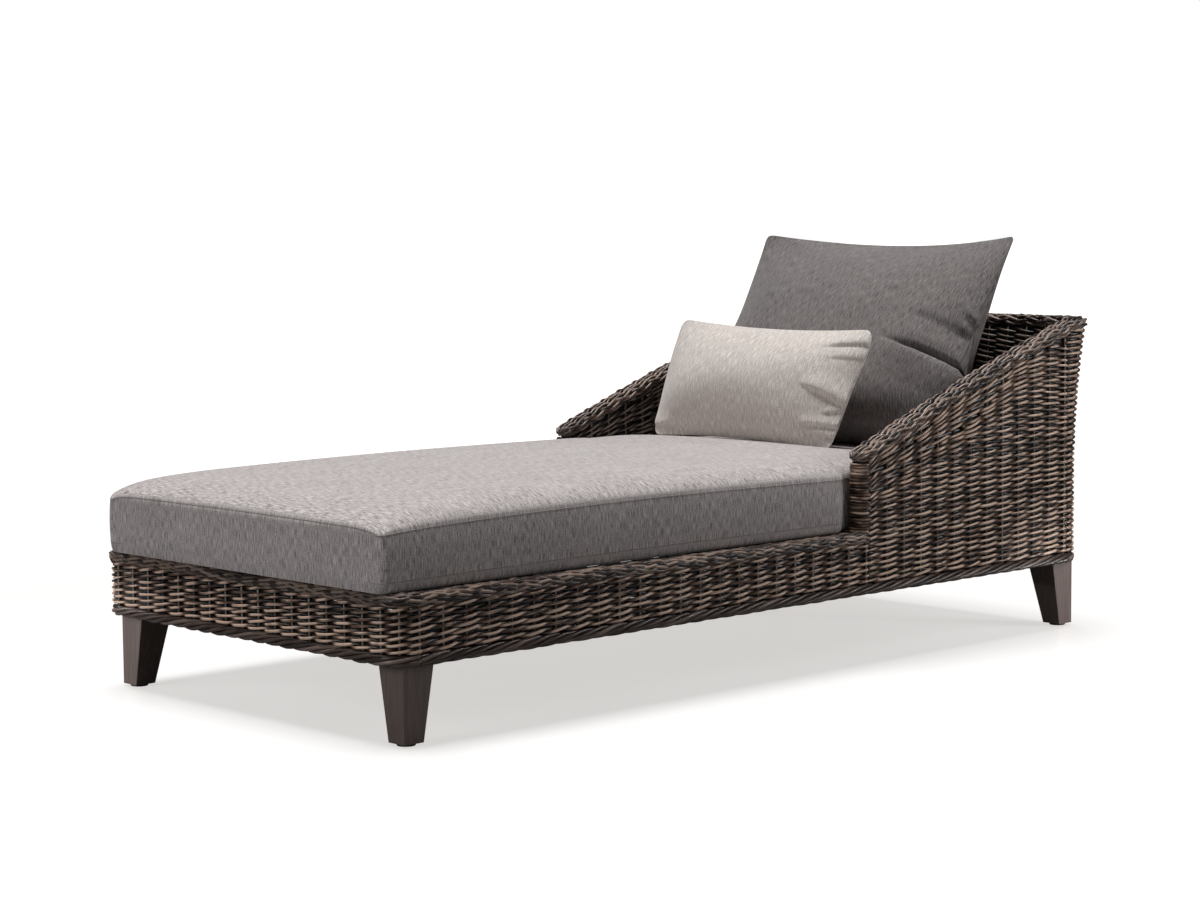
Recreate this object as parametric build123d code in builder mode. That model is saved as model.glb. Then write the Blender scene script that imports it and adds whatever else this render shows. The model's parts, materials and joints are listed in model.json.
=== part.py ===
from build123d import *
import math
import os

# A woven rattan sun lounger: a welded tube frame on four tapered legs, skins of woven cane on
# upright canes, rolled rims, a webbing deck, a boxed seat cushion and two loose pillows.
# Millimetres. X runs from the foot end to the head end, Y from the near side to the far side,
# and Z up from the floor. The origin is under the middle of the lounger.

os.makedirs("parts", exist_ok=True)

# Main outline
overall_length = 2084
overall_width = 980
back_height = 716
arm_height = 454
arm_length = 779
arm_bow = 8
deck_height = 286.2
rake = 30
rake_start_height = 355
corner_radius = 58
top_corner_radius = 38
corner_return = 12

# Woven skins, canes and rims
weave_thickness = 9
stake_diameter = 6
stake_clearance = 0.05
stake_sides = 8
stake_pitch = 55
border_diameter = 24
rim_height = 24
rim_proud = 2
rim_rounding = 12
arm_rim_nose = 9
base_rim_height = 26
base_rim_rounding = 18
arm_end_radius = 20

# Tube frame
tube_width = 20
tube_wall = 2
rail_height = 30
deck_cross_bar_count = 4
lower_cross_bar_count = 3
side_post_count = 3
middle_rail_height = 450
corner_block_size = 60
webbing_width = 50
webbing_thickness = 2.2
webbing_count = 21

# Legs
leg_height = 145
leg_top_size = 73
leg_foot_size = 47
leg_side_inset = 27
leg_foot_end_inset = 34
leg_head_end_inset = 12
leg_edge_rounding = 1.5
glide_height = 5
glide_diameter = 36
glide_pin_diameter = 8
glide_pin_length = 20
bolt_diameter = 8
bolt_depth_in_leg = 60
bolt_edge_distance = 18
bolt_tail = 4
bolt_tip_gap = 2
washer_diameter = 16
washer_thickness = 1.6
nut_width = 13
nut_height = 6.5
hole_clearance = 0.15

# Seat cushion
seat_clearance = 0.3
side_clearance = 0.5
cushion_overhang = 6
cushion_half_width = 458
cushion_corner = 20
cushion_side_height = 113
cushion_crown = 55
cushion_side_draw = 4
cushion_side_bulge = 4
cushion_shoulder = 26
cover_thickness = 3

# Back cushion
back_cushion_side_gap = 48
back_cushion_offset = 24
back_cushion_bottom_setback = 345
back_cushion_top_setback = 60
back_cushion_rise = 423.5
back_cushion_waist_setback = 255
back_cushion_waist_rise = 185.5
back_cushion_waist_drop = 34
back_cushion_front_depth = 95
back_cushion_rear_depth = 165
back_cushion_lower_bulge = 87
back_cushion_upper_bulge = 48
back_cushion_rear_upper_bulge = 53.5
back_cushion_rear_lower_bulge = 50
back_cushion_bottom_curl = 5
back_cushion_waist_curl = 22
back_cushion_top_curl = 50
back_cushion_ear = 26
back_cushion_ear_drop = 1
back_cushion_rest = 0.7
back_cushion_edge = 10
back_cushion_draw = 12

# Lumbar pillow
lumbar_half_width = 297
lumbar_offset = 47
lumbar_bottom_setback = 596
lumbar_top_setback = 482
lumbar_rise = 235.5
lumbar_front_bulge = 70
lumbar_rear_bulge = 88
lumbar_edge = 8
lumbar_ear = 10
lumbar_ear_drop = 1
lumbar_rest = 0.7
lumbar_draw = 6
lumbar_bottom_draw = 22

# Places that follow from the sizes
half_width = overall_width / 2 - rim_proud
foot_x = cushion_overhang - overall_length / 2
head_x = overall_length / 2 - rim_proud - rake
arm_front_x = head_x - arm_length
base_bottom = glide_height + leg_height
border_top = base_bottom + border_diameter
base_rim_bottom = deck_height - base_rim_height
tube_depth = weave_thickness + stake_diameter
lining_depth = 2 * tube_depth + tube_width
inner_skin_depth = lining_depth - weave_thickness
stake_depth = weave_thickness + stake_diameter / 2
inner_stake_depth = lining_depth - stake_depth
deck_rail_depth = tube_depth + tube_width
deck_rail_top = deck_height - webbing_thickness
rail_depth = border_diameter
rail_top = base_bottom + rail_height
arm_panel_x = arm_front_x + arm_end_radius
panel_end_x = head_x - corner_radius - corner_return
foot_corner_x = foot_x + corner_radius
rim_joint_x = head_x - lining_depth + rake
inner_half_width = half_width - lining_depth
cut_overrun = 50


def finish(piece, name):
    """Label one finished piece and write it."""
    piece.part.label = name
    export_step(piece.part, f"parts/{name}.step")


def finish_pair(near, name):
    """Write a piece of the near side, and its mirror image for the far side."""
    with BuildPart() as far:
        mirror(near.part, about=Plane.XZ)
    finish(near, f"near_{name}")
    finish(far, f"far_{name}")


def back_x(z, depth):
    """X of the back at a height, this deep inside its rear face: upright, then raked along a parabola."""
    share = max(0, z - rake_start_height) / (back_height - rake_start_height)
    return head_x - depth + rake * share**2


def arm_top(x):
    """Height of the arm's top edge: a shallow arch that rises from the arm's front to the back."""
    share = (x - arm_front_x) / (rim_joint_x - arm_front_x)
    return arm_height + (back_height - arm_height) * share + 4 * arm_bow * share * (1 - share)


def arm_slope(x):
    """Rise of the arm's top edge for each millimetre of length."""
    run = rim_joint_x - arm_front_x
    share = (x - arm_front_x) / run
    return (back_height - arm_height + 4 * arm_bow * (1 - 2 * share)) / run


def arm_curve(start, end, drop):
    """The three control points of the arm's top edge between two places, lowered by drop."""
    middle = (start + end) / 2
    handle = arm_top(start) + arm_slope(start) * (end - start) / 2
    return (start, arm_top(start) - drop), (middle, handle - drop), (end, arm_top(end) - drop)


def rake_curve(top, depth):
    """The three control points of the raked part of the back, up to a height."""
    handle = (rake_start_height + top) / 2
    start = head_x - depth
    return (start, rake_start_height), (start, handle), (back_x(top, depth), top)


def corner_at(z):
    """Radius of the rear corners at a height: they tighten towards the top."""
    share = max(0, z - rake_start_height) / (back_height - rake_start_height)
    return corner_radius - (corner_radius - top_corner_radius) * share**2


def spread(start, end, count):
    """Evenly spaced places strictly between two ends."""
    return [start + (end - start) * (i + 1) / (count + 1) for i in range(count)]


def pitched(start, end, pitch):
    """Evenly spaced places strictly between two ends, about one pitch apart."""
    return spread(start, end, max(1, round((end - start) / pitch) - 1))


def square_tube(start, along, length, height):
    """An upright-sided tube of the frame, tube_width wide, from the centre of its first end."""
    upright = Vector(0, 0, 1)
    direction = Vector(*along)
    across = upright.cross(direction)
    with BuildPart() as tube:
        with BuildSketch(Plane(origin=start, x_dir=across, z_dir=direction)):
            Rectangle(tube_width, height)
            Rectangle(tube_width - 2 * tube_wall, height - 2 * tube_wall, mode=Mode.SUBTRACT)
        extrude(amount=length)
    return tube


def square_post(x, y, bottom, top):
    """An upright tube of the frame on a centre."""
    with BuildPart() as tube:
        with BuildSketch(Plane.XY.offset(bottom)):
            with Locations((x, y)):
                Rectangle(tube_width, tube_width)
                Rectangle(tube_width - 2 * tube_wall, tube_width - 2 * tube_wall, mode=Mode.SUBTRACT)
        extrude(amount=top - bottom)
    return tube


# Everything above the underside of the rims, which skins and linings are cut to
with BuildPart() as above_rims:
    with BuildSketch(Plane.XZ.offset(-overall_width)):
        with BuildLine():
            edge = Bezier(*arm_curve(arm_front_x - cut_overrun, rim_joint_x, rim_height))
            Polyline(
                edge @ 1,
                (head_x + corner_radius, back_height - rim_height),
                (head_x + corner_radius, back_height + cut_overrun),
                (arm_front_x - cut_overrun, back_height + cut_overrun),
                edge @ 0,
            )
        make_face()
    extrude(amount=2 * overall_width)

# Lower rails, which lie just inside the rope border
side_rail_y = half_width - rail_depth - tube_width / 2
rail_centre_z = base_bottom + rail_height / 2
side_rail_start = foot_x + corner_radius
side_rail_end = head_x - corner_radius
end_rail_x_foot = foot_x + rail_depth + tube_width / 2
end_rail_x_head = head_x - rail_depth - tube_width / 2
cross_half_length = half_width - rail_depth - tube_width
flat_half = half_width - corner_radius

near_side_rail = square_tube(
    (side_rail_start, -side_rail_y, rail_centre_z), (1, 0, 0), side_rail_end - side_rail_start, rail_height
)
finish_pair(near_side_rail, "side_rail")

foot_rail = square_tube((end_rail_x_foot, -flat_half, rail_centre_z), (0, 1, 0), 2 * flat_half, rail_height)
finish(foot_rail, "foot_rail")

head_rail = square_tube((end_rail_x_head, -flat_half, rail_centre_z), (0, 1, 0), 2 * flat_half, rail_height)
finish(head_rail, "head_rail")

with BuildPart() as lower_cross_bars:
    for x in spread(side_rail_start, side_rail_end, lower_cross_bar_count):
        add(square_tube((x, -cross_half_length, rail_centre_z), (0, 1, 0), 2 * cross_half_length, rail_height).part)
finish(lower_cross_bars, "lower_cross_bars")

# Deck rails, which carry the webbing under the seat cushion
deck_rail_y = half_width - deck_rail_depth - tube_width / 2
deck_centre_z = deck_rail_top - tube_width / 2
deck_start = foot_x + deck_rail_depth
deck_end = head_x - deck_rail_depth
deck_half_length = deck_rail_y - tube_width / 2

near_deck_rail = square_tube((deck_start, -deck_rail_y, deck_centre_z), (1, 0, 0), deck_end - deck_start, tube_width)
finish_pair(near_deck_rail, "deck_rail")

foot_deck_rail = square_tube(
    (deck_start + tube_width / 2, -deck_half_length, deck_centre_z), (0, 1, 0), 2 * deck_half_length, tube_width
)
finish(foot_deck_rail, "foot_deck_rail")

head_deck_rail = square_tube(
    (deck_end - tube_width / 2, -deck_half_length, deck_centre_z), (0, 1, 0), 2 * deck_half_length, tube_width
)
finish(head_deck_rail, "head_deck_rail")

with BuildPart() as deck_cross_bars:
    for x in spread(deck_start + tube_width, deck_end - tube_width, deck_cross_bar_count):
        add(square_tube((x, -deck_half_length, deck_centre_z), (0, 1, 0), 2 * deck_half_length, tube_width).part)
finish(deck_cross_bars, "deck_cross_bars")

webbing_half_length = half_width - inner_stake_depth - stake_diameter / 2 - webbing_thickness
with BuildPart() as deck_webbing:
    with BuildSketch(Plane.XY.offset(deck_rail_top)):
        for x in spread(deck_start, deck_end, webbing_count):
            with Locations((x, 0)):
                Rectangle(webbing_width, 2 * webbing_half_length)
    extrude(amount=webbing_thickness)
finish(deck_webbing, "deck_webbing")

# Short posts between the lower rails and the deck rails
post_bottom = rail_top
post_top = deck_rail_top - tube_width
with BuildPart() as foot_corner_posts:
    for y in (-deck_rail_y, deck_rail_y):
        add(square_post(deck_start + tube_width / 2, y, post_bottom, post_top).part)
finish(foot_corner_posts, "foot_corner_posts")

with BuildPart() as side_posts:
    for x in spread(deck_start, arm_panel_x, side_post_count):
        for y in (-deck_rail_y, deck_rail_y):
            add(square_post(x, y, post_bottom, post_top).part)
finish(side_posts, "side_posts")

# Corner blocks in the lower rails, which the leg bolts pass through
block_x_foot = end_rail_x_foot + tube_width / 2
block_x_head = end_rail_x_head - tube_width / 2
block_y = cross_half_length
bolt_x_foot = block_x_foot + bolt_edge_distance
bolt_x_head = block_x_head - bolt_edge_distance
bolt_y = block_y - bolt_edge_distance
bolt_places = [(x, y) for x in (bolt_x_foot, bolt_x_head) for y in (-bolt_y, bolt_y)]
half_block = corner_block_size / 2
block_places = [
    (x, y)
    for x in (block_x_foot + half_block, block_x_head - half_block)
    for y in (half_block - block_y, block_y - half_block)
]
with BuildPart() as corner_blocks:
    with BuildSketch(Plane.XY.offset(base_bottom)):
        with Locations(*block_places):
            Rectangle(corner_block_size, corner_block_size)
        with Locations(*bolt_places):
            Circle(bolt_diameter / 2 + hole_clearance, mode=Mode.SUBTRACT)
    extrude(amount=rail_height)
finish(corner_blocks, "corner_blocks")

# Arm and back posts and rails
arm_tube_y = half_width - tube_depth - tube_width / 2
arm_rail_drop = rim_height + tube_width

with BuildPart() as near_arm_rail:
    with BuildSketch(Plane.XZ.offset(arm_tube_y - tube_width / 2)):
        with BuildLine():
            top_edge = Bezier(*arm_curve(arm_panel_x, panel_end_x, rim_height))
            low_edge = Bezier(*arm_curve(arm_panel_x, panel_end_x, arm_rail_drop))
            Line(top_edge @ 0, low_edge @ 0)
            Line(top_edge @ 1, low_edge @ 1)
        make_face()
    extrude(amount=tube_width)
finish_pair(near_arm_rail, "arm_rail")

with BuildPart() as near_arm_post:
    post = square_post(arm_panel_x + tube_width / 2, -arm_tube_y, post_bottom, back_height)
    add(post.part)
    with BuildSketch(Plane.XZ.offset(-overall_width)):
        with BuildLine():
            cut_edge = Bezier(*arm_curve(arm_front_x, panel_end_x, arm_rail_drop))
            Polyline(
                cut_edge @ 1,
                (panel_end_x, back_height + cut_overrun),
                (arm_front_x, back_height + cut_overrun),
                cut_edge @ 0,
            )
        make_face()
    extrude(amount=2 * overall_width, mode=Mode.SUBTRACT)
finish_pair(near_arm_post, "arm_post")

back_post_y = flat_half - tube_width / 2
back_rail_top = back_height - rim_height
back_rail_bottom = back_rail_top - tube_width

with BuildPart() as near_back_post:
    with BuildSketch(Plane.XZ.offset(back_post_y - tube_width / 2)):
        with BuildLine():
            rear = Bezier(*rake_curve(back_rail_bottom, tube_depth))
            front = Bezier(*rake_curve(back_rail_bottom, deck_rail_depth))
            Polyline(rear @ 0, (head_x - tube_depth, post_bottom), (head_x - deck_rail_depth, post_bottom), front @ 0)
            Line(rear @ 1, front @ 1)
        make_face()
    extrude(amount=tube_width)
finish_pair(near_back_post, "back_post")


def back_rail(bottom, half_length):
    """A tube across the back whose faces follow the rake."""
    top = bottom + tube_width
    with BuildPart() as rail:
        with BuildSketch(Plane.XZ.offset(-half_length)):
            with BuildLine():
                Polyline(
                    (back_x(bottom, tube_depth), bottom),
                    (back_x(top, tube_depth), top),
                    (back_x(top, deck_rail_depth), top),
                    (back_x(bottom, deck_rail_depth), bottom),
                    close=True,
                )
            make_face()
        extrude(amount=2 * half_length)
    return rail


back_top_rail = back_rail(back_rail_bottom, back_post_y + tube_width / 2)
finish(back_top_rail, "back_top_rail")

back_middle_rail = back_rail(middle_rail_height, back_post_y - tube_width / 2)
finish(back_middle_rail, "back_middle_rail")

# Woven skins of the base
with BuildPart() as near_base_weave:
    with BuildSketch(Plane.XZ.offset(half_width - weave_thickness)):
        with BuildLine():
            Polyline(
                (foot_corner_x, border_top),
                (arm_panel_x, border_top),
                (arm_panel_x, base_rim_bottom),
                (foot_corner_x, base_rim_bottom),
                close=True,
            )
        make_face()
    extrude(amount=weave_thickness)
finish_pair(near_base_weave, "base_weave")


def foot_band(bottom, height, proud, thickness):
    """A band round the foot end with both its corners, standing this proud of the skins."""
    outer_length = head_x - foot_x + 2 * proud
    outer_width = 2 * (half_width + proud)
    outer_radius = corner_radius + proud
    with BuildPart() as band:
        with BuildSketch(Plane.XY.offset(bottom)):
            with Locations(((foot_x + head_x) / 2, 0)):
                RectangleRounded(outer_length, outer_width, outer_radius)
                RectangleRounded(
                    outer_length - 2 * thickness,
                    outer_width - 2 * thickness,
                    outer_radius - thickness,
                    mode=Mode.SUBTRACT,
                )
            with Locations((foot_corner_x, 0)):
                Rectangle(
                    outer_length, outer_width + cut_overrun, align=(Align.MIN, Align.CENTER), mode=Mode.SUBTRACT
                )
        extrude(amount=height)
    return band


weave_height = base_rim_bottom - border_top
foot_weave = foot_band(border_top, weave_height, 0, weave_thickness)
finish(foot_weave, "foot_weave")

# Woven skins of the arms
with BuildPart() as near_arm_weave:
    with BuildSketch(Plane.XZ.offset(half_width - weave_thickness)):
        with BuildLine():
            edge = Bezier(*arm_curve(arm_panel_x, panel_end_x, rim_height))
            Polyline(edge @ 1, (panel_end_x, border_top), (arm_panel_x, border_top), edge @ 0)
        make_face()
    extrude(amount=weave_thickness)
finish_pair(near_arm_weave, "arm_weave")

with BuildPart() as near_arm_lining:
    with BuildSketch(Plane.XZ.offset(inner_half_width)):
        with BuildLine():
            rear = Bezier(*rake_curve(back_rail_top, inner_skin_depth))
            Polyline(
                rear @ 1,
                (arm_panel_x, back_rail_top),
                (arm_panel_x, deck_height),
                (head_x - inner_skin_depth, deck_height),
                rear @ 0,
            )
        make_face()
    extrude(amount=weave_thickness)
    add(above_rims.part, mode=Mode.SUBTRACT)
finish_pair(near_arm_lining, "arm_lining")

with BuildPart() as near_arm_end_weave:
    with BuildSketch(Plane.XY.offset(deck_height)):
        with Locations((arm_front_x, half_width * -1)):
            RectangleRounded(
                2 * lining_depth, lining_depth, arm_end_radius, align=(Align.MIN, Align.MIN)
            )
        with Locations((arm_front_x + weave_thickness, weave_thickness - half_width)):
            RectangleRounded(
                2 * lining_depth,
                lining_depth - 2 * weave_thickness,
                arm_end_radius - weave_thickness,
                align=(Align.MIN, Align.MIN),
                mode=Mode.SUBTRACT,
            )
        with Locations((arm_panel_x, -half_width)):
            Rectangle(3 * lining_depth, lining_depth, align=(Align.MIN, Align.MIN), mode=Mode.SUBTRACT)
    extrude(amount=arm_height - deck_height)
    add(above_rims.part, mode=Mode.SUBTRACT)
finish_pair(near_arm_end_weave, "arm_end_weave")


def turn_point(centre_x, centre_y, radius, side):
    """The middle of a rear corner's quarter turn."""
    reach = radius * math.sqrt(0.5)
    return centre_x + reach, centre_y + side * reach


def back_slice(z):
    """One level slice of the woven back: a band along the rear face that turns both rear corners."""
    outer_x = back_x(z, 0)
    inner_x = back_x(z, weave_thickness)
    outer_radius = corner_at(z)
    inner_radius = outer_radius - weave_thickness
    centre_x = outer_x - outer_radius
    centre_y = half_width - outer_radius
    inner_width = half_width - weave_thickness
    with BuildSketch(Plane.XY.offset(z)) as band:
        with BuildLine():
            Line((panel_end_x, -half_width), (centre_x, -half_width))
            ThreePointArc(
                (centre_x, -half_width),
                turn_point(centre_x, -centre_y, outer_radius, -1),
                (outer_x, -centre_y),
            )
            Line((outer_x, -centre_y), (outer_x, centre_y))
            ThreePointArc(
                (outer_x, centre_y), turn_point(centre_x, centre_y, outer_radius, 1), (centre_x, half_width)
            )
            Line((centre_x, half_width), (panel_end_x, half_width))
            Line((panel_end_x, half_width), (panel_end_x, inner_width))
            Line((panel_end_x, inner_width), (centre_x, inner_width))
            ThreePointArc(
                (centre_x, inner_width), turn_point(centre_x, centre_y, inner_radius, 1), (inner_x, centre_y)
            )
            Line((inner_x, centre_y), (inner_x, -centre_y))
            ThreePointArc(
                (inner_x, -centre_y),
                turn_point(centre_x, -centre_y, inner_radius, -1),
                (centre_x, -inner_width),
            )
            Line((centre_x, -inner_width), (panel_end_x, -inner_width))
            Line((panel_end_x, -inner_width), (panel_end_x, -half_width))
        make_face()
    return band.sketch


raked_slice_shares = (0, 0.3, 0.55, 0.78, 1)
raked_heights = [rake_start_height + (back_rail_top - rake_start_height) * s for s in raked_slice_shares]
with BuildPart() as back_weave:
    loft(sections=[back_slice(border_top)] + [back_slice(z) for z in raked_heights], ruled=True)
    add(above_rims.part, mode=Mode.SUBTRACT)
finish(back_weave, "back_weave")

with BuildPart() as back_lining:
    with BuildSketch(Plane.XZ.offset(-inner_half_width)):
        with BuildLine():
            rear = Bezier(*rake_curve(back_rail_top, inner_skin_depth))
            front = Bezier(*rake_curve(back_rail_top, lining_depth))
            Line(rear @ 1, front @ 1)
            Polyline(
                rear @ 0,
                (head_x - inner_skin_depth, deck_height),
                (head_x - lining_depth, deck_height),
                front @ 0,
            )
        make_face()
    extrude(amount=2 * inner_half_width)
finish(back_lining, "back_lining")

# Rope border round the bottom edge
border_radius = border_diameter / 2
border_z = base_bottom + border_radius
border_turn = corner_radius - border_radius
border_y = half_width - border_radius
with BuildPart() as near_border:
    with BuildSketch(Plane.YZ.offset(foot_corner_x)):
        with Locations((-border_y, border_z)):
            Circle(border_radius)
    extrude(amount=head_x - corner_radius - foot_corner_x)
finish_pair(near_border, "border")


def end_border(end_x, inward):
    """The rope border across one end with its two corners; inward is the way to the middle along X."""
    straight_y = border_y - border_turn
    face_x = end_x + inward * border_radius
    turn_x = face_x + inward * border_turn
    reach = border_turn * math.sqrt(0.5)
    with BuildPart() as border:
        with BuildLine(Plane.XY.offset(border_z)):
            ThreePointArc(
                (turn_x, -border_y), (turn_x - inward * reach, -straight_y - reach), (face_x, -straight_y)
            )
            Line((face_x, -straight_y), (face_x, straight_y))
            ThreePointArc((face_x, straight_y), (turn_x - inward * reach, straight_y + reach), (turn_x, border_y))
        with BuildSketch(Plane.YZ.offset(turn_x)):
            with Locations((-border_y, border_z)):
                Circle(border_radius)
        sweep()
    return border


finish(end_border(foot_x, 1), "foot_border")
finish(end_border(head_x, -1), "head_border")

# Rolled rims
base_rim_width = deck_rail_depth + rim_proud
with BuildPart() as near_base_rim:
    with BuildSketch(Plane.YZ.offset(foot_corner_x)):
        with Locations((-half_width - rim_proud, base_rim_bottom)):
            Rectangle(base_rim_width, base_rim_height, align=(Align.MIN, Align.MIN))
    extrude(amount=arm_panel_x - foot_corner_x)
    fillet(near_base_rim.edges().filter_by(Axis.X).group_by(Axis.Z)[-1].sort_by(Axis.Y)[0], base_rim_rounding)
finish_pair(near_base_rim, "base_rim")

foot_rim = foot_band(base_rim_bottom, base_rim_height, rim_proud, base_rim_width)
with BuildPart() as rounded_foot_rim:
    add(foot_rim.part)
    outer_top = rounded_foot_rim.edges().group_by(Axis.Z)[-1]
    outer_band = [e for e in outer_top if e.center().X < foot_corner_x]
    rim_reach = half_width + rim_proud - base_rim_width / 2
    outer_edges = [
        e for e in outer_band if abs(e.center().Y) > rim_reach or e.center().X < foot_x - rim_proud + base_rim_width / 2
    ]
    fillet(outer_edges, base_rim_rounding)
    with Locations((deck_start, 0, base_rim_bottom)):
        Box(
            overall_length,
            2 * (half_width - deck_rail_depth),
            base_rim_height,
            align=(Align.MIN, Align.CENTER, Align.MIN),
            mode=Mode.SUBTRACT,
        )
finish(rounded_foot_rim, "foot_rim")

rim_width = lining_depth + rim_proud
rim_y = half_width + rim_proud - rim_width / 2
rim_start = arm_front_x - rim_proud


def arm_rim_slice(x, narrowing):
    """One upright slice of the arm rim: a band with rounded shoulders, its top on the arm's top edge."""
    with BuildSketch(Plane.YZ.offset(x)) as band:
        with Locations((-rim_y, arm_top(x) - narrowing)):
            Rectangle(rim_width - 2 * narrowing, 2 * rim_height, align=(Align.CENTER, Align.MAX))
        fillet(band.vertices().group_by(Axis.Y)[-1], rim_rounding - narrowing / 2)
    return band.sketch


rim_slice_shares = (0.25, 0.5, 0.75)
with BuildPart() as near_arm_rim:
    slices = [arm_rim_slice(rim_start, arm_rim_nose), arm_rim_slice(rim_start + arm_rim_nose, 0)]
    slices += [arm_rim_slice(arm_front_x + (rim_joint_x - arm_front_x) * s, 0) for s in rim_slice_shares]
    slices += [arm_rim_slice(rim_joint_x, 0)]
    loft(sections=slices, ruled=True)
    with BuildSketch(Plane.XZ.offset(-overall_width)):
        with BuildLine():
            underside = Bezier(*arm_curve(rim_start - rim_proud, rim_joint_x, rim_height))
            Polyline(underside @ 0, (rim_start - rim_proud, deck_height), (rim_joint_x, deck_height), underside @ 1)
        make_face()
    extrude(amount=2 * overall_width, mode=Mode.SUBTRACT)
finish_pair(near_arm_rim, "arm_rim")

back_rim_depth = overall_length / 2 - rim_joint_x
with BuildPart() as back_rim:
    with BuildSketch(Plane.XY.offset(back_rail_top)):
        with Locations((rim_joint_x, 0)):
            Rectangle(back_rim_depth, overall_width, align=(Align.MIN, Align.CENTER))
    extrude(amount=rim_height)
    fillet(back_rim.edges().filter_by(Axis.Z).group_by(Axis.X)[-1], top_corner_radius)
    top_face_edges = back_rim.faces().sort_by(Axis.Z)[-1].edges()
    fillet([e for e in top_face_edges if e.center().X > rim_joint_x + rim_proud], rim_rounding)
finish(back_rim, "back_rim")

# Upright canes that the weave goes round
stake_radius = stake_diameter / 2
stake_y = half_width - stake_depth
inner_stake_y = half_width - inner_stake_depth
cane_floor = (Align.CENTER, Align.CENTER, Align.MIN)

with BuildPart() as base_stakes:
    base_places = [
        (x, y)
        for x in pitched(foot_corner_x, arm_panel_x, stake_pitch)
        for y in (-stake_y, stake_y)
    ]
    base_places += [(foot_x + stake_depth, y) for y in pitched(-flat_half, flat_half, stake_pitch)]
    with BuildSketch(Plane.XY.offset(border_top)):
        with Locations(*base_places):
            RegularPolygon(stake_radius, stake_sides)
    extrude(amount=weave_height)
finish(base_stakes, "base_stakes")

with BuildPart() as arm_stakes:
    for x in pitched(arm_panel_x + tube_width / 2, panel_end_x, stake_pitch):
        stake_top = arm_top(x - stake_radius) - rim_height
        with BuildSketch(Plane.XY.offset(stake_top)):
            with Locations((x, -stake_y), (x, stake_y)):
                RegularPolygon(stake_radius, stake_sides)
        extrude(amount=border_top - stake_top)
        with BuildSketch(Plane.XY.offset(stake_top)):
            with Locations((x, -inner_stake_y), (x, inner_stake_y)):
                RegularPolygon(stake_radius, stake_sides)
        extrude(amount=deck_rail_top - stake_top)
finish(arm_stakes, "arm_stakes")


def back_stake(depth, bottom):
    """One raked cane of the back, in the plane of the middle."""
    with BuildPart() as stake:
        with BuildLine(Plane.XZ):
            raked = Bezier(*rake_curve(back_height, depth))
            Line((head_x - depth, bottom), raked @ 0)
        with BuildSketch(Plane.XY.offset(bottom)):
            with Locations((head_x - depth, 0)):
                RegularPolygon(stake_radius - stake_clearance, stake_sides)
        sweep()
        split(bisect_by=Plane.XY.offset(back_rail_top), keep=Keep.BOTTOM)
    return stake


with BuildPart() as back_stakes:
    outer_stake = back_stake(stake_depth, border_top)
    inner_stake = back_stake(inner_stake_depth, deck_rail_top)
    with Locations(*[(0, y, 0) for y in pitched(-flat_half, flat_half, stake_pitch)]):
        add(outer_stake.part)
        add(inner_stake.part)
finish(back_stakes, "back_stakes")

# Tapered legs: the two outer faces stand upright, and the two inner faces slope
leg_y = half_width - leg_side_inset


def tapered_leg(outer_x, inward, bolt_x):
    """A leg of the near side; inward is the way to the middle of the lounger along X."""
    x_align = Align.MIN if inward > 0 else Align.MAX
    with BuildPart() as leg:
        with BuildSketch(Plane.XY.offset(glide_height)):
            with Locations((outer_x, -leg_y)):
                Rectangle(leg_foot_size, leg_foot_size, align=(x_align, Align.MIN))
        with BuildSketch(Plane.XY.offset(base_bottom)):
            with Locations((outer_x, -leg_y)):
                Rectangle(leg_top_size, leg_top_size, align=(x_align, Align.MIN))
        loft(ruled=True)
        fillet([e for e in leg.edges() if e.length >= leg_height], leg_edge_rounding)
        with Locations((bolt_x, -bolt_y, base_bottom)):
            Cylinder(
                bolt_diameter / 2 + hole_clearance,
                bolt_depth_in_leg + bolt_tip_gap,
                align=(Align.CENTER, Align.CENTER, Align.MAX),
                mode=Mode.SUBTRACT,
            )
        with Locations((outer_x + inward * leg_foot_size / 2, leg_foot_size / 2 - leg_y, glide_height)):
            Cylinder(
                glide_pin_diameter / 2 + hole_clearance,
                glide_pin_length + bolt_tip_gap,
                align=(Align.CENTER, Align.CENTER, Align.MIN),
                mode=Mode.SUBTRACT,
            )
    return leg


leg_x_foot = foot_x + leg_foot_end_inset
leg_x_head = head_x - leg_head_end_inset
finish_pair(tapered_leg(leg_x_foot, 1, bolt_x_foot), "foot_leg")
finish_pair(tapered_leg(leg_x_head, -1, bolt_x_head), "head_leg")

half_foot = leg_foot_size / 2
glide_places = [
    (x, y, 0) for x in (leg_x_foot + half_foot, leg_x_head - half_foot) for y in (half_foot - leg_y, leg_y - half_foot)
]
with BuildPart() as leg_glides:
    with Locations(*glide_places):
        Cylinder(glide_diameter / 2, glide_height, align=cane_floor)
    chamfer(leg_glides.edges().filter_by(GeomType.CIRCLE).group_by(Axis.Z)[0], glide_height / 5)
    with Locations(*glide_places):
        Cylinder(glide_pin_diameter / 2, glide_height + glide_pin_length, align=cane_floor)
finish(leg_glides, "leg_glides")

bolt_bottom = base_bottom - bolt_depth_in_leg
nut_bottom = rail_top + washer_thickness
bolt_top = nut_bottom + nut_height + bolt_tail
with BuildPart() as leg_bolts:
    with Locations(*[(x, y, bolt_bottom) for x, y in bolt_places]):
        Cylinder(bolt_diameter / 2, bolt_top - bolt_bottom, align=cane_floor)
    with Locations(*[(x, y, rail_top) for x, y in bolt_places]):
        Cylinder(washer_diameter / 2, washer_thickness, align=cane_floor)
    with BuildSketch(Plane.XY.offset(nut_bottom)):
        with Locations(*bolt_places):
            RegularPolygon(nut_width / 2, 6, major_radius=False)
    extrude(amount=nut_height)
finish(leg_bolts, "leg_bolts")

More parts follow.
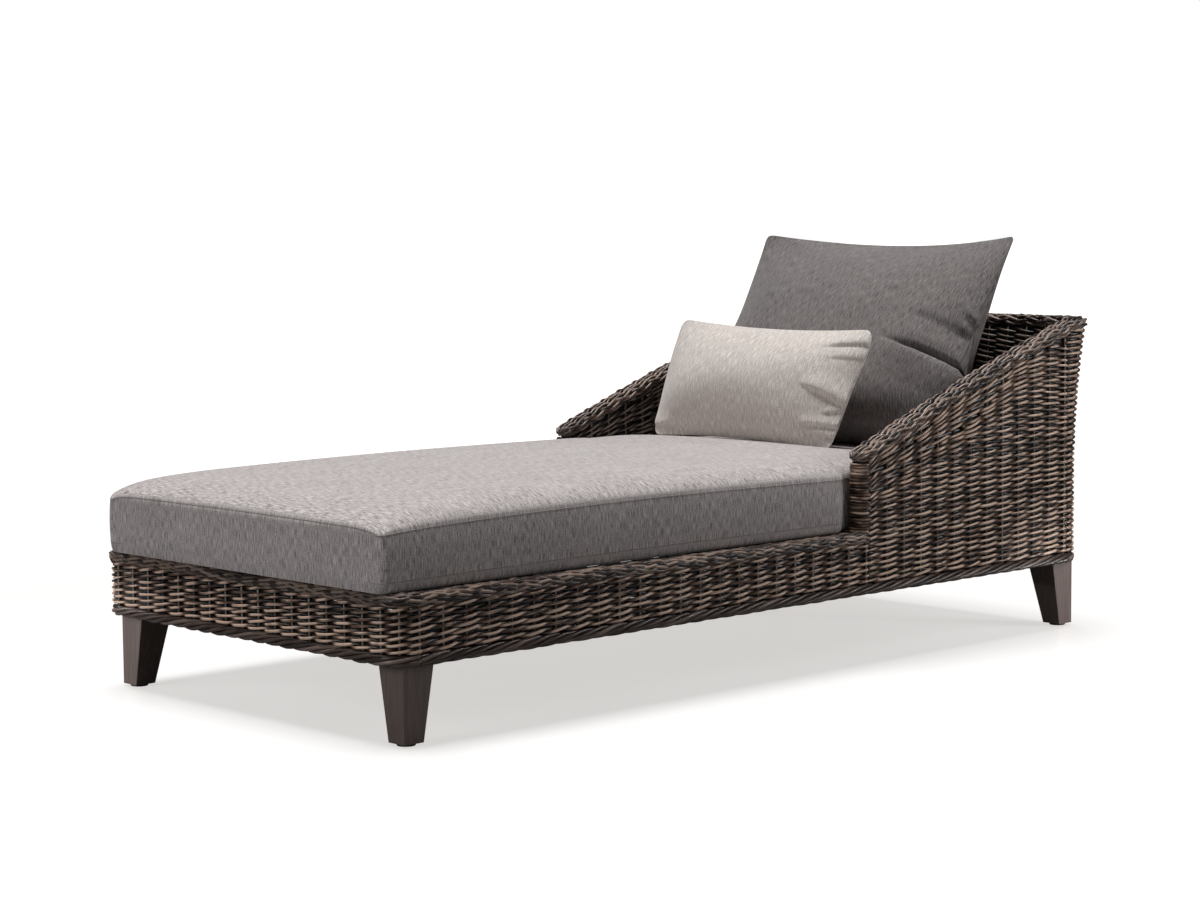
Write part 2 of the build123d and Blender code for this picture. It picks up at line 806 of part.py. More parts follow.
# Boxed seat cushion: flat below, upright sides that bow a little, and a crowned top
seat_bottom = deck_height + seat_clearance
seat_seam = seat_bottom + cushion_side_height
seat_crown = seat_seam + cushion_crown
seat_foot_x = foot_x - cushion_overhang
seat_head_x = head_x - lining_depth - side_clearance
seat_neck_x = rim_start - side_clearance
seat_neck_half = inner_half_width - side_clearance - cushion_side_bulge
# Place along the open part, share of the side's draw, and share of the crown
seat_front_shares = ((0.05, 0.2, 0.6), (0.12, 0.5, 0.82), (0.25, 0.9, 0.95), (0.5, 1, 1), (0.8, 0.7, 1))


def seat_slice(x, half, crown, inset):
    """One upright slice across the seat cushion."""
    low = seat_bottom + inset
    seam = seat_seam - inset
    side = half - inset
    middle = (low + seam) / 2
    with BuildSketch(Plane.YZ.offset(x)) as band:
        with BuildLine():
            Line((-side, low), (side, low))
            ThreePointArc((side, low), (side + cushion_side_bulge, middle), (side, seam))
            ThreePointArc((side, seam), (0, seam + crown), (-side, seam))
            ThreePointArc((-side, seam), (-side - cushion_side_bulge, middle), (-side, low))
        make_face()
    return band.sketch


def seat_form(inset):
    """The seat cushion's form, drawn in all round by an inset."""
    open_length = seat_neck_x - cushion_shoulder - seat_foot_x
    waist = cushion_half_width - seat_neck_half
    stations = [
        (seat_foot_x + inset, cushion_half_width - cushion_corner, cushion_crown * 0.12),
        (seat_foot_x + inset + cushion_corner * 0.3, cushion_half_width - cushion_corner * 0.3, cushion_crown * 0.26),
        (seat_foot_x + inset + cushion_corner, cushion_half_width, cushion_crown * 0.4),
    ]
    for place, draw, crown in seat_front_shares:
        stations.append(
            (seat_foot_x + open_length * place, cushion_half_width - cushion_side_draw * draw, cushion_crown * crown)
        )
    stations += [
        (seat_neck_x - cushion_shoulder, cushion_half_width, cushion_crown),
        (seat_neck_x - cushion_shoulder * 0.35, cushion_half_width - waist * 0.4, cushion_crown),
        (seat_neck_x - inset, seat_neck_half, cushion_crown),
        (seat_head_x - cushion_corner * 6, seat_neck_half, cushion_crown),
        (seat_head_x - cushion_corner * 3, seat_neck_half, cushion_crown * 0.85),
        (seat_head_x - cushion_corner, seat_neck_half, cushion_crown * 0.6),
        (seat_head_x - inset, seat_neck_half - cushion_corner * 0.5, cushion_crown * 0.35),
    ]
    with BuildPart() as form:
        loft(sections=[seat_slice(x, half, crown, inset) for x, half, crown in stations], ruled=True)
    return form


def finish_cushion(form, name, filling):
    """Write a soft piece as its cover, a closed shell, and the filling inside it."""
    inner = form(cover_thickness)
    with BuildPart() as cover:
        add(form(0).part)
        add(inner.part, mode=Mode.SUBTRACT)
    finish(cover, f"{name}_cover")
    finish(inner, f"{name}_{filling}")


finish_cushion(seat_form, "seat_cushion", "foam")

# Pillows: lens slices between a seam below and a seam above, which thin out towards both ends
pillow_slice_shares = (-1, -0.9, -0.65, -0.25, 0.25, 0.65, 0.9, 1)
pillow_power = 3
back_cushion_half_width = inner_half_width - back_cushion_side_gap
back_cushion_floor = seat_crown + back_cushion_rest
back_cushion_bottom_x = head_x - back_cushion_bottom_setback
back_cushion_top_x = head_x - back_cushion_top_setback
back_cushion_top_z = seat_crown + back_cushion_rise
back_cushion_waist_x = head_x - back_cushion_waist_setback
back_cushion_waist_z = seat_crown + back_cushion_waist_rise
lumbar_floor = seat_crown + lumbar_rest
lumbar_bottom_x = head_x - lumbar_bottom_setback
lumbar_top_x = head_x - lumbar_top_setback
lumbar_top_z = seat_crown + lumbar_rise


def fullness(share):
    """How full a pillow is at a share of its half width: all of it in the middle, nothing at the ends."""
    return 1 - abs(share) ** pillow_power


def bowed(start, end, sagitta):
    """An arc between two points of a slice, bowed to the left of the way from start to end."""
    along = Vector(end[0] - start[0], end[1] - start[1])
    left = Vector(-along.Y, along.X).normalized()
    middle = Vector(*start) + along / 2 + left * sagitta
    return ThreePointArc(start, (middle.X, middle.Y), end)


def back_cushion_slice(share, inset):
    """One slice of the back cushion: a full lower part, a waist with a crease, and a leaning upper part."""
    full = fullness(share)
    reach = share**2
    edge = back_cushion_edge / 2 - inset
    bottom = (
        back_cushion_bottom_x - back_cushion_bottom_curl * reach,
        back_cushion_floor - back_cushion_ear_drop * reach + 2 * inset,
    )
    top = (
        back_cushion_top_x - back_cushion_top_curl * reach,
        back_cushion_top_z + back_cushion_ear * reach - 2 * inset,
    )
    waist_x = back_cushion_waist_x - back_cushion_waist_curl * reach
    waist_z = back_cushion_waist_z - back_cushion_waist_drop * reach
    crease = (waist_x - edge - back_cushion_front_depth * full, waist_z)
    rear = (waist_x + edge + back_cushion_rear_depth * full, waist_z)
    y = back_cushion_offset + share * (back_cushion_half_width - inset)
    with BuildSketch(Plane.XZ.offset(-y)) as band:
        with BuildLine():
            bowed(bottom, crease, edge + back_cushion_lower_bulge * full)
            bowed(crease, top, edge + back_cushion_upper_bulge * full)
            bowed(top, rear, edge + back_cushion_rear_upper_bulge * full)
            bowed(rear, bottom, edge + back_cushion_rear_lower_bulge * full)
        make_face()
    return band.sketch


def lumbar_slice(share, inset):
    """One slice of the lumbar pillow: a lens that leans back, fuller behind than in front."""
    full = fullness(share)
    reach = share**2
    edge = lumbar_edge / 2 - inset
    bottom = (lumbar_bottom_x, lumbar_floor - lumbar_ear_drop * reach + 2 * inset)
    top = (lumbar_top_x, lumbar_top_z + lumbar_ear * reach - 2 * inset)
    y = lumbar_offset + share * (lumbar_half_width - inset)
    with BuildSketch(Plane.XZ.offset(-y)) as band:
        with BuildLine():
            bowed(bottom, top, edge + lumbar_front_bulge * full)
            bowed(top, bottom, edge + lumbar_rear_bulge * full)
        make_face()
    return band.sketch


def pillow_form(slice_at, inset, centre_y, half, draws, low, high):
    """A pillow lofted through its slices, with both side edges drawn in at the bottom and in the middle."""
    bottom_draw, middle_draw = draws
    with BuildPart() as form:
        loft(sections=[slice_at(share, inset) for share in pillow_slice_shares])
        with BuildSketch(Plane.YZ):
            for side in (-1, 1):
                edge_y = centre_y + side * (half - inset)
                bottom_y = edge_y - side * bottom_draw
                clear_y = edge_y + side * half
                with BuildLine():
                    ThreePointArc((bottom_y, low), (edge_y - side * middle_draw, (low + high) / 2), (edge_y, high))
                    Polyline((edge_y, high), (clear_y, high), (clear_y, low), (bottom_y, low))
                make_face()
        extrude(amount=overall_length, mode=Mode.SUBTRACT)
    return form


def back_cushion_form(inset):
    """The back cushion's form, drawn in all round by an inset."""
    return pillow_form(
        back_cushion_slice,
        inset,
        back_cushion_offset,
        back_cushion_half_width,
        (0, back_cushion_draw),
        back_cushion_floor - back_cushion_ear_drop,
        back_cushion_top_z + back_cushion_ear,
    )


def lumbar_form(inset):
    """The lumbar pillow's form, drawn in all round by an inset."""
    return pillow_form(
        lumbar_slice,
        inset,
        lumbar_offset,
        lumbar_half_width,
        (lumbar_bottom_draw, lumbar_draw),
        lumbar_floor - lumbar_ear_drop,
        lumbar_top_z + lumbar_ear,
    )


finish_cushion(back_cushion_form, "back_cushion", "filling")
finish_cushion(lumbar_form, "lumbar_pillow", "filling")
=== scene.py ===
"""A woven rattan sun lounger: canes, rims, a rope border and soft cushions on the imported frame."""

import json
import math

import bpy
import numpy as np
from mathutils import Matrix


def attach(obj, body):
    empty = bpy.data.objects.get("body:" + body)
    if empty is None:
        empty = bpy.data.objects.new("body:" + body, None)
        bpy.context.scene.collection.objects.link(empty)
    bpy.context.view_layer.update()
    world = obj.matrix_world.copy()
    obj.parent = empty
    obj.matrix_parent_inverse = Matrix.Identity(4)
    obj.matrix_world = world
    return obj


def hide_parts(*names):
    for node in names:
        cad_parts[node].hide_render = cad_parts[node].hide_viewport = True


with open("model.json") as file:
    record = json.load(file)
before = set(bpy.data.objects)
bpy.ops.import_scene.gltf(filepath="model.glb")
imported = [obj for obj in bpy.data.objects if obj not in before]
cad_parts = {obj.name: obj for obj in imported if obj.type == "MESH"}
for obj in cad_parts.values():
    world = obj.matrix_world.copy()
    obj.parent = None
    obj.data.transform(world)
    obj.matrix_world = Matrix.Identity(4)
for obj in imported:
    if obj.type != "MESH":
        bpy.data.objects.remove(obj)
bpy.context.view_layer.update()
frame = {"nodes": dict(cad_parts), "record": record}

# Main outline, in metres, as in the CAD
half_width = 0.488
head_x = 1.010
arm_front_x = 0.231
arm_panel_x = 0.251
panel_end_x = 0.940
foot_corner_x = -0.978
rim_joint_x = 0.990
base_bottom = 0.150
border_top = 0.174
base_rim_bottom = 0.2602
deck_height = 0.2862
arm_height = 0.454
back_height = 0.716
arm_bow = 0.008
rake = 0.030
rake_start_height = 0.355
corner_radius = 0.058
top_corner_radius = 0.038
arm_end_radius = 0.020
lining_depth = 0.050
weave_thickness = 0.009
rim_height = 0.024
rim_proud = 0.002
base_rim_width = 0.037
base_rim_height = 0.026
border_radius = 0.012
flat_half = half_width - corner_radius
inner_half_width = half_width - lining_depth
inner_skin_end_x = head_x - lining_depth + weave_thickness
corner_turn = corner_radius * np.pi / 2
foot_length = 2 * corner_turn + 2 * flat_half
rear_straight = head_x - corner_radius - panel_end_x
rear_half = rear_straight + corner_turn
rear_length = 2 * rear_half + 2 * flat_half

# Canes of the weave
cane_radius = 0.0032
cane_front_depth = 0.0036
cane_back_depth = 0.0158
filler_radius = 0.0064
filler_drop = 0.0009
filler_depth = 0.0172
row_pitch = (back_height - rim_height - border_top) / 40
twist_height = row_pitch / 4
skin_pitch = 0.054
held_ease = 0.03
fan_depth = 0.125
fan_ease = 0.12
arch_slope = 0.17
arch_bottom = 0.40
arch_height = 0.2
arch_start_x = 0.70
arch_length = 0.12
fan_places = 160
fan_top_share = 0.45
fan_crowded_share = 0.66
fan_fewest_places = 12
nose_first_row = 8

# Unevenness of the canes
wave_lengths = (0.06, 0.31)
depth_wobble = 0.0006
row_wobble = 0.0016
filler_wobble = 0.001
spiral_wobble = 0.0008
radius_wobble_share = 0.1
cane_size_shares = (0.88, 1.08)
filler_size_shares = (0.95, 1.1)
rim_size_shares = (0.9, 1.08)
stake_size_shares = (0.92, 1.05)

# Swing and tone of the twined canes, with light painted where a cane stands proud and shade painted behind
swing_lag = 0.3
swing_power = 0.8
painted_light_gain = 1.75
painted_light_least = -0.65
painted_light_weight = 0.75
held_painted_light = 0.45
own_tones = (-0.15, 0.5)
patch_tone = 0.3
patch_pace = 3.1
tone_drop = 0.1
# Tone of the backing canes and the base rim's cores: painted near black as shade
painted_shade_tone = -1.0
grain_shift = 37

# Fineness of the meshes: steps from stake to stake, sides of the canes, and points of an upright
skin_steps = 8
lining_steps = 6
cane_sides = 6
lining_sides = 5
rope_sides = 8
upright_points = 14
short_upright_points = 5

# Stakes
stake_radius = 0.0023
stake_depth = 0.0084
base_stake_overlap = 0.004
stake_overlap = 0.003
base_stake_count = 21
arm_stake_count = 11
back_stake_count = 15
arm_stake_margin = 0.010
passed_stake_pitch = 0.052

# Rims and rope
rim_cane_radius = 0.0031
rim_cane_count = 10
rim_rounding = 0.0115
rim_lift = 0.0028
rim_turns = 4.5
rim_front_gap = 0.004
rim_turn_radius = 0.022
rim_cut_setback = 0.03
rim_nose_share = 0.02
base_cane_radius = 0.0033
base_cane_count = 11
base_rim_rounding = 0.0125
base_rim_lift = 0.0016
base_core_offset = 0.0085
base_core_radius = 0.0092
roll_lay = 0.62
rope_strand_radius = 0.0044
rope_strand_count = 5
rope_turns = 26
round_limit = 1e-5
smallest_length = 1e-9

# Seat cushion
seat_bottom = 0.2865
seat_seam = 0.3995
seat_foot_x = -1.042
seat_head_x = 0.9595
seat_neck_x = 0.2215
seat_half_width = 0.458
seat_neck_half = 0.4315
seat_crown = 0.048
seat_pressed_crown = 0.018
seat_foot_crown = 0.012
seat_press_start_x = 0.3
seat_press_length = 0.4
seat_swell_reach = 0.24
seat_corner_drop = 0.006
seat_foot_draw = 0.002
seat_side_draw = 0.006
seat_side_bow = 0.0055
seat_base_inset = 0.005
seat_side_lean = 0.002
seat_edge_share = 0.75
seat_edge_width = 0.088
seat_seam_bow = 0.007
seat_corner = 0.016
seat_far_corner = 0.034
seat_shoulder = 0.045
seat_end_bow = 0.002
seam_thread_radius = 0.0009
seam_facing = (0.2, 1, 0)
low_seam_row = 3
pucker_height = 0.0009
pucker_start = 0.006
pucker_reach = 0.035
pucker_foot_reach = 0.05
pucker_slant = 0.9
seat_draw_power = 1.3
seat_swell_power = 2.2
seat_bow_power = 0.8
seat_head_share = 0.6
seat_drop_share = 0.06
seat_inset_share = 0.10
seat_held_share = 0.7
cap_shares = (0.004, 0.02, 0.06, 0.14, 0.3, 0.55, 0.8)
cap_bow_pace = 3
dense_end_share = 0.94

# Waves of the puckers: size, pace and way of the slant, then size, pace and start of their waver
side_pucker_waves = ((1, 410, 1, 3, 37, 0), (0.8, 263, 1, 2, 23, 1))
foot_pucker_waves = ((1, 390, 1, 3, 41, 0), (0.8, 251, -1, 2, 19, 0))

# Back cushion: points of its profile in X and Z, and how much further each is at the sides
back_size = (0.390, 0.5)
back_offset = 0.024
back_rounding = 0.016
back_bottom = (0.665, 0.425)
back_bottom_curl = (-0.005, -0.012)
back_waist = (0.755, 0.640)
back_waist_curl = (-0.022, -0.034)
back_top = (0.950, 0.878)
back_top_curl = (-0.050, 0.026)
back_front_depth = 0.100
back_rear_depth = 0.165
back_front_bows = (0.090, 0.052)
back_rear_bows = (-0.050, -0.053)
back_ripple = 0.0022
back_ripple_paces = ((7, 3), (2, 9))
back_full_powers = (3.2, 0.75)
back_front_waist_share = 0.40
back_rear_waist_share = 0.42
back_smoothing = (0.9, 420)
back_even_share = 0.25
back_seam_share = 0.02
back_draw_share = 0.03
back_swell_shares = (0.03, 0.3, 0.11)
pillow_edge_share = 0.06
bow_power = 0.85

# Crease of the back cushion: its line across and up, and how the cloth moves at places beside it
crease_across_shares = (-1, -0.97, -0.91, -0.84, -0.73, -0.56, -0.5)
crease_up_shares = (0.350, 0.392, 0.413, 0.428, 0.446, 0.463, 0.468)
millimetre = 0.001
crease_places = np.array([-90, -60, -35, -18, -9, -4, 0, 4, 9, 18, 35, 60, 90]) * millimetre
crease_along = np.array([0, -2, -1, 2, 3.5, 4, -4, -1, -2, -3, -2, 0, 0]) * millimetre
crease_out = np.array([0, 6, 12, 14, 10, 2, -15, -13, -1, 7, 9, 4, 0]) * millimetre
crease_window = 9
crease_fade_share = 0.45
crease_fade_power = 0.7

# Lumbar pillow, in the same way, with the tilt of its edges
lumbar_size = (0.297, 0.27)
lumbar_offset = 0.047
lumbar_rounding = 0.024
lumbar_bottom = (0.414, 0.4440)
lumbar_bottom_curl = (0, -0.011)
lumbar_bottom_tilt = 0.003
lumbar_top = (0.528, 0.692)
lumbar_top_curl = (0, 0.012)
lumbar_top_tilt = 0.004
lumbar_front_bow = 0.074
lumbar_rear_bow = -0.088
lumbar_ripple = 0.0018
lumbar_ripple_paces = ((6, 4), (-2, 8))
lumbar_full_powers = (3.0, 0.85)
lumbar_seam_share = 0.012
lumbar_swell_shares = (0.05, 0.84, 0.24)
lumbar_near_draw_share = 0.05
lumbar_near_power = 1.2
lumbar_near_foot_shares = (0.03, 0.1)
lumbar_far_draw_shares = (0.034, 0.014)

# Tucks: where each starts and ends across and up with its sag, then its width, ridge and hollow
back_tuck_shares = (
    ((-0.90, 0.635), (-1.0, 0.575), 0),
    ((-0.86, 0.555), (-1.0, 0.525), 0),
    ((-0.50, 0.600), (-0.95, 0.545), 0),
    ((0.60, 0.50), (1.0, 0.44), 0),
)
back_tuck_sizes = (
    (0.012, 0.004, 0.006),
    (0.012, 0.003, 0.003),
    (0.022, 0.003, 0.004),
    (0.02, 0.003, 0.004),
)
lumbar_tuck_shares = (
    ((-0.60, 0.46), (-0.99, 0.345), -0.01),
    ((-0.84, 0.26), (-1.0, 0.31), 0),
    ((-0.62, 0.135), (-0.99, 0.175), -0.01),
    ((-0.70, 0.075), (-0.99, 0.095), -0.015),
    ((-0.62, 0.80), (-1.0, 0.865), 0),
    ((-0.70, 0.70), (-1.0, 0.74), 0),
    ((0.70, 0.09), (0.99, 0.06), 0),
)
lumbar_tuck_sizes = (
    (0.017, 0.004, 0.0085),
    (0.008, 0.002, 0.004),
    (0.009, 0.004, 0.005),
    (0.008, 0.0035, 0.005),
    (0.014, 0.003, 0.005),
    (0.014, 0.0015, 0.002),
    (0.009, 0.002, 0.004),
)
tuck_end_share = 1.2
tuck_fade_shares = (0.45, 0.2)
tuck_first_width_share = 0.45
tuck_falls = (1.3, 0.35)

# How far a pillow's rear lies from its front on their cloth, and the facings that set the seat's cloth
rear_cloth_shift = (3, 0)
end_facing = 0.8
side_facing = 0.6

# Relief of the finishes
cane_relief = 0.0004
cloth_relief = 0.0005
plain_relief = 0.0003

# Floor, lamps and camera
floor_reach = 60
glow_start = 1.8
glow_end = 7.0
lamps = (
    ("top_light", "SUN", (0.0, 0.5, 4.0), (0, 0, 0), 3.9, {"angle": math.radians(30)}),
    ("arm_light", "AREA", (1.9, -1.8, 1.2), (0.65, -0.49, 0.4), 15, {"size": 0.8}),
    ("foot_fill", "AREA", (-4.5, 0.5, 1.8), (0.3, 0.0, 0.5), 42, {"size": 1.5}),
    ("near_fill", "AREA", (-0.5, -5.5, 1.2), (0.0, 0.0, 0.3), 18, {"size": 2.5}),
    ("foot_light", "SPOT", (-2.3, 1.3, 0.2), (-0.97, 0.45, 0.08), 36, {"spot_size": 0.3, "spot_blend": 1.0}),
    ("leg_light", "SPOT", (1.9, -2.0, 0.25), (0.93, -0.45, 0.07), 60, {"spot_size": 0.3, "spot_blend": 1.0}),
)
camera_place = (-4.0346, -4.2211, 0.9938)
camera_yaw = 0.7536
camera_pitch = 0.0937
camera_roll = -0.0082
lens_length = 80.35
sensor_width = 36

rng = np.random.default_rng(7)


# Places on the frame
def arm_top(x):
    """Height of the arm's top edge: a line from the arm's front to the back plus a shallow arch."""
    share = (x - arm_front_x) / (rim_joint_x - arm_front_x)
    return arm_height + (back_height - arm_height) * share + 4 * arm_bow * share * (1 - share)


def rake_share(z):
    """How far up the raked part of the back a height is, from 0 to 1."""
    return np.clip((z - rake_start_height) / (back_height - rake_start_height), 0, None)


def back_x(z, depth):
    """X of the back at a height, this deep inside its rear face: upright, then a parabola."""
    return head_x - depth + rake * rake_share(z) ** 2


def rear_radius(z):
    """Radius of the rear corners: it shrinks with the square of the share up the rake."""
    return corner_radius - (corner_radius - top_corner_radius) * rake_share(z) ** 2


def with_height(xy, z):
    """Points or ways in plan with a height, one for each or one for all."""
    return np.concatenate([xy, np.broadcast_to(z, len(xy))[:, None]], 1)


# Meshes
def make_object(name, vertices, faces, smooth=True):
    """One mesh object at the origin from a table of points and a table of faces."""
    mesh = bpy.data.meshes.new(name)
    mesh.from_pydata(np.asarray(vertices).tolist(), [], faces)
    mesh.polygons.foreach_set("use_smooth", np.full(len(mesh.polygons), smooth))
    mesh.update()
    piece = bpy.data.objects.new(name, mesh)
    bpy.context.scene.collection.objects.link(piece)
    return piece


def settle(piece, material, slot, *nodes, body="frame"):
    """Give a piece its material and body, and hide the CAD nodes that it stands for. Its finish slot is not
    used.
    """
    piece.data.materials.append(material)
    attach(piece, body)
    if nodes:
        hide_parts(*nodes)


def smooth_step(value):
    """0 below zero, 1 above one and an even S between."""
    value = np.clip(value, 0, 1)
    return value**2 * (3 - 2 * value)


def unit(vectors):
    """Vectors scaled to length one."""
    return vectors / np.maximum(np.linalg.norm(vectors, axis=-1, keepdims=True), smallest_length)


def lengths_along(path):
    """The length from the start to each point of one path, or of each row of paths."""
    step = np.linalg.norm(np.diff(path, axis=-2), axis=-1)
    return np.concatenate([np.zeros((*step.shape[:-1], 1)), np.cumsum(step, axis=-1)], axis=-1)


def cane_rings(path, outward, radius, sides):
    """Rings round a path: centre + radius (cos a outward + sin a across), square to the path."""
    tangent = unit(np.gradient(path, axis=0))
    normal = unit(outward - tangent * np.sum(outward * tangent, axis=1, keepdims=True))
    across = np.cross(tangent, normal)
    angle = 2 * np.pi * np.arange(sides) / sides
    radius = np.broadcast_to(radius, len(path))[:, None, None]
    cos = np.cos(angle)[None, :, None]
    sin = np.sin(angle)[None, :, None]
    rings = path[:, None, :] + radius * (cos * normal[:, None, :] + sin * across[:, None, :])
    along = lengths_along(path)[:, None, None]
    grain = np.concatenate(np.broadcast_arrays(along, radius * cos, radius * sin), -1)
    return rings, grain


def bundle(name, strands, sides=cane_sides):
    """One object from many canes, each a path, its outward side, its radius and its tone."""
    points, grains, tones, faces = [], [], [], []
    start = 0
    for path, outward, radius, tone in strands:
        rings, grain = cane_rings(path, outward, radius, sides)
        count = len(path)
        index = start + np.arange(count * sides).reshape(count, sides)
        after = np.roll(index, -1, axis=1)
        quads = np.stack([index[:-1], after[:-1], after[1:], index[1:]], -1).reshape(-1, 4)
        faces.extend(quads.tolist())
        faces.append(index[0][::-1].tolist())
        faces.append(index[-1].tolist())
        points.append(rings.reshape(-1, 3))
        tone = np.broadcast_to(tone, count)
        grains.append(grain.reshape(-1, 3) + [tone[0] * grain_shift, 0, 0])
        tones.append(np.repeat(tone, sides))
        start += count * sides
    piece = make_object(name, np.concatenate(points), faces)
    vectors = piece.data.attributes.new("cane", "FLOAT_VECTOR", "POINT")
    vectors.data.foreach_set("vector", np.concatenate(grains).astype(np.float32).ravel())
    # The tone holds each cane's own random tone and its painted light and shade.
    shades = piece.data.attributes.new("tone", "FLOAT", "POINT")
    shades.data.foreach_set("value", np.concatenate(tones).astype(np.float32))
    return piece


def wobble(along, size):
    """A slow unevenness along a cane: three sine waves with random lengths and starts."""
    waves = rng.uniform(*wave_lengths, 3)
    starts = rng.uniform(0, 2 * np.pi, 3)
    return size * np.mean([np.sin(2 * np.pi * along / w + s) for w, s in zip(waves, starts)], axis=0)


# Twined rows
def twined_row(place, along, stakes, height, lay, held=None):
    """The two canes of one row, which change sides between stakes.

    The phase turns by half a turn from stake to stake. A cane's depth follows the phase's cosine, a little
    late, so it stands proudest just past a stake. It climbs evenly in front and sinks again behind, where
    its tone is painted near black as shade, and its tone is painted lighter where it stands proud. Up to the
    held length both canes lie side by side in front, with an even painted light.
    """
    turn = np.pi * np.interp(along, stakes, np.arange(len(stakes)))
    loose = np.ones(len(along)) if held is None else smooth_step((along - held) / held_ease)
    strands = []
    for half_turn in (0.0, np.pi):
        phase = turn + half_turn
        proud = (1 + np.cos(phase - swing_lag)) / 2
        swing = cane_back_depth - (cane_back_depth - cane_front_depth) * proud**swing_power
        depth = cane_front_depth + (swing - cane_front_depth) * loose + wobble(along, depth_wobble)
        climb = np.arcsin(np.sin(phase)) / (np.pi / 2)
        beside = 1 if half_turn else -1
        climb = beside + (climb * lay - beside) * loose
        z = height + twist_height * climb + wobble(along, row_wobble)
        path, outward = place(along, z, depth)
        radius = cane_radius * rng.uniform(*cane_size_shares) * (1 + wobble(along, radius_wobble_share))
        # Painted light and shade: the tone rises where the cane stands proud and drops towards near black
        # behind the stakes.
        painted_light = np.clip(proud * painted_light_gain + painted_light_least, painted_light_least, 1)
        painted_light = held_painted_light + (painted_light - held_painted_light) * loose
        patchy = wobble(along * patch_pace, patch_tone)
        tone = rng.uniform(*own_tones) + painted_light_weight * painted_light + patchy - tone_drop
        strands.append((path, outward, radius, tone))
    return strands


def filler_cane(place, along, height):
    """The plain cane that lies behind the stakes, half way up to the next row, painted near black as shade.
    """
    count = max(4, len(along) // 3)
    thinned = np.linspace(along[0], along[-1], count)
    z = np.interp(thinned, along, np.broadcast_to(height, along.shape)) + row_pitch / 2 - filler_drop
    z = z + wobble(thinned, filler_wobble)
    path, outward = place(thinned, z, filler_depth + wobble(thinned, filler_wobble))
    # The backing cane's tone is painted shade: near black, as the holes between the rows.
    return path, outward, filler_radius * rng.uniform(*filler_size_shares), painted_shade_tone


def twined_rows(place, along, stakes, heights, lay):
    """Level rows, each with the plain cane behind its stakes."""
    strands = []
    for height in heights:
        strands += twined_row(place, along, stakes, height, lay)
        strands.append(filler_cane(place, along, height))
    return strands


def steps(start, end, pitch, per_stake):
    """Evenly spaced places between two ends, a number of steps for each stake."""
    count = max(3, int(round((end - start) / pitch * per_stake)) + 1)
    return np.linspace(start, end, count)


def row_heights(bottom, top):
    """Heights of the rows between a bottom and a top, the first half a row up."""
    return np.arange(bottom + row_pitch / 2, top, row_pitch)


def spaced(start, end, count):
    """The two ends with this many stakes evenly spaced between them."""
    return np.linspace(start, end, count + 2)


def turned_stakes(straight, total):
    """Stakes round one end: one in the middle of each turn, and even ones over the face between."""
    first = straight + corner_turn / 2
    face = straight + corner_turn + spaced(0, 2 * flat_half, back_stake_count)
    return np.concatenate([[0, first], face, [total - straight - corner_turn / 2, total]])


base_stakes_x = spaced(foot_corner_x, arm_panel_x, base_stake_count)
arm_stakes_x = spaced(arm_panel_x + arm_stake_margin, panel_end_x, arm_stake_count)
arm_stakes_x[0] = arm_panel_x
passed_stakes_x = panel_end_x + passed_stake_pitch * np.array([1, 2])
side_stakes_x = np.concatenate([base_stakes_x[:-1], arm_stakes_x, passed_stakes_x])
foot_stakes = turned_stakes(0, foot_length)
rear_stakes = turned_stakes(rear_straight, rear_length)
lining_stakes = spaced(-inner_half_width, inner_half_width, back_stake_count)


def side_place(side, face, inward):
    """Places on an upright plane along X: side is -1 or 1, face its distance from the middle plane."""

    def place(along, z, depth):
        y = side * (face - inward * depth)
        path = np.stack(np.broadcast_arrays(along, y, z), -1)
        outward = np.broadcast_to([0.0, side * inward, 0.0], path.shape)
        return path, outward

    return place


def foot_outline(along):
    """A point on the base's outline round the foot end, and the way out there: turn, face, turn."""
    angle_near = np.clip(along / corner_radius, 0, np.pi / 2)
    angle_far = np.clip((along - corner_turn - 2 * flat_half) / corner_radius, 0, np.pi / 2)
    across = np.clip(along - corner_turn, 0, 2 * flat_half)
    angle = angle_near + angle_far
    out = np.stack([-np.sin(angle), -np.cos(angle)], -1)
    x = foot_corner_x + corner_radius * out[..., 0]
    y = -flat_half + across + corner_radius * out[..., 1]
    return np.stack([x, y], -1), out


def foot_place(along, z, depth):
    """Places on the skin round the foot end."""
    point, out = foot_outline(along)
    return with_height(point - out * np.asarray(depth)[..., None], z), with_height(out, 0)


def rear_place(along, z, depth):
    """Places on the skin round the back, in lengths of the foot of the wall, near arm to far arm."""
    along = np.asarray(along, float)
    z = np.broadcast_to(z, along.shape)
    side = np.where(along < rear_length / 2, -1.0, 1.0)
    folded = np.minimum(along, rear_length - along)
    radius = rear_radius(z)
    centre_x = back_x(z, 0) - radius
    centre_y = half_width - radius
    straight = np.clip(folded / rear_straight, 0, 1)
    angle = np.clip((folded - rear_straight) / corner_turn, 0, 1) * np.pi / 2
    share = np.clip((folded - rear_half) / flat_half, 0, 1)
    x = panel_end_x + (centre_x - panel_end_x) * straight + radius * np.sin(angle)
    y = centre_y * (1 - share) + radius * np.cos(angle)
    out = np.stack([np.sin(angle), side * np.cos(angle)], -1)
    xy = np.stack([x, side * y], -1) - out * np.asarray(depth)[..., None]
    return with_height(xy, z), with_height(out, 0)


def back_lining_place(along, z, depth):
    """Places on the lining of the back, which leans with the rake and faces the foot end."""
    x = back_x(z, lining_depth) + depth
    path = np.stack(np.broadcast_arrays(x, along, z), -1)
    return path, np.broadcast_to([-1.0, 0.0, 0.0], path.shape)


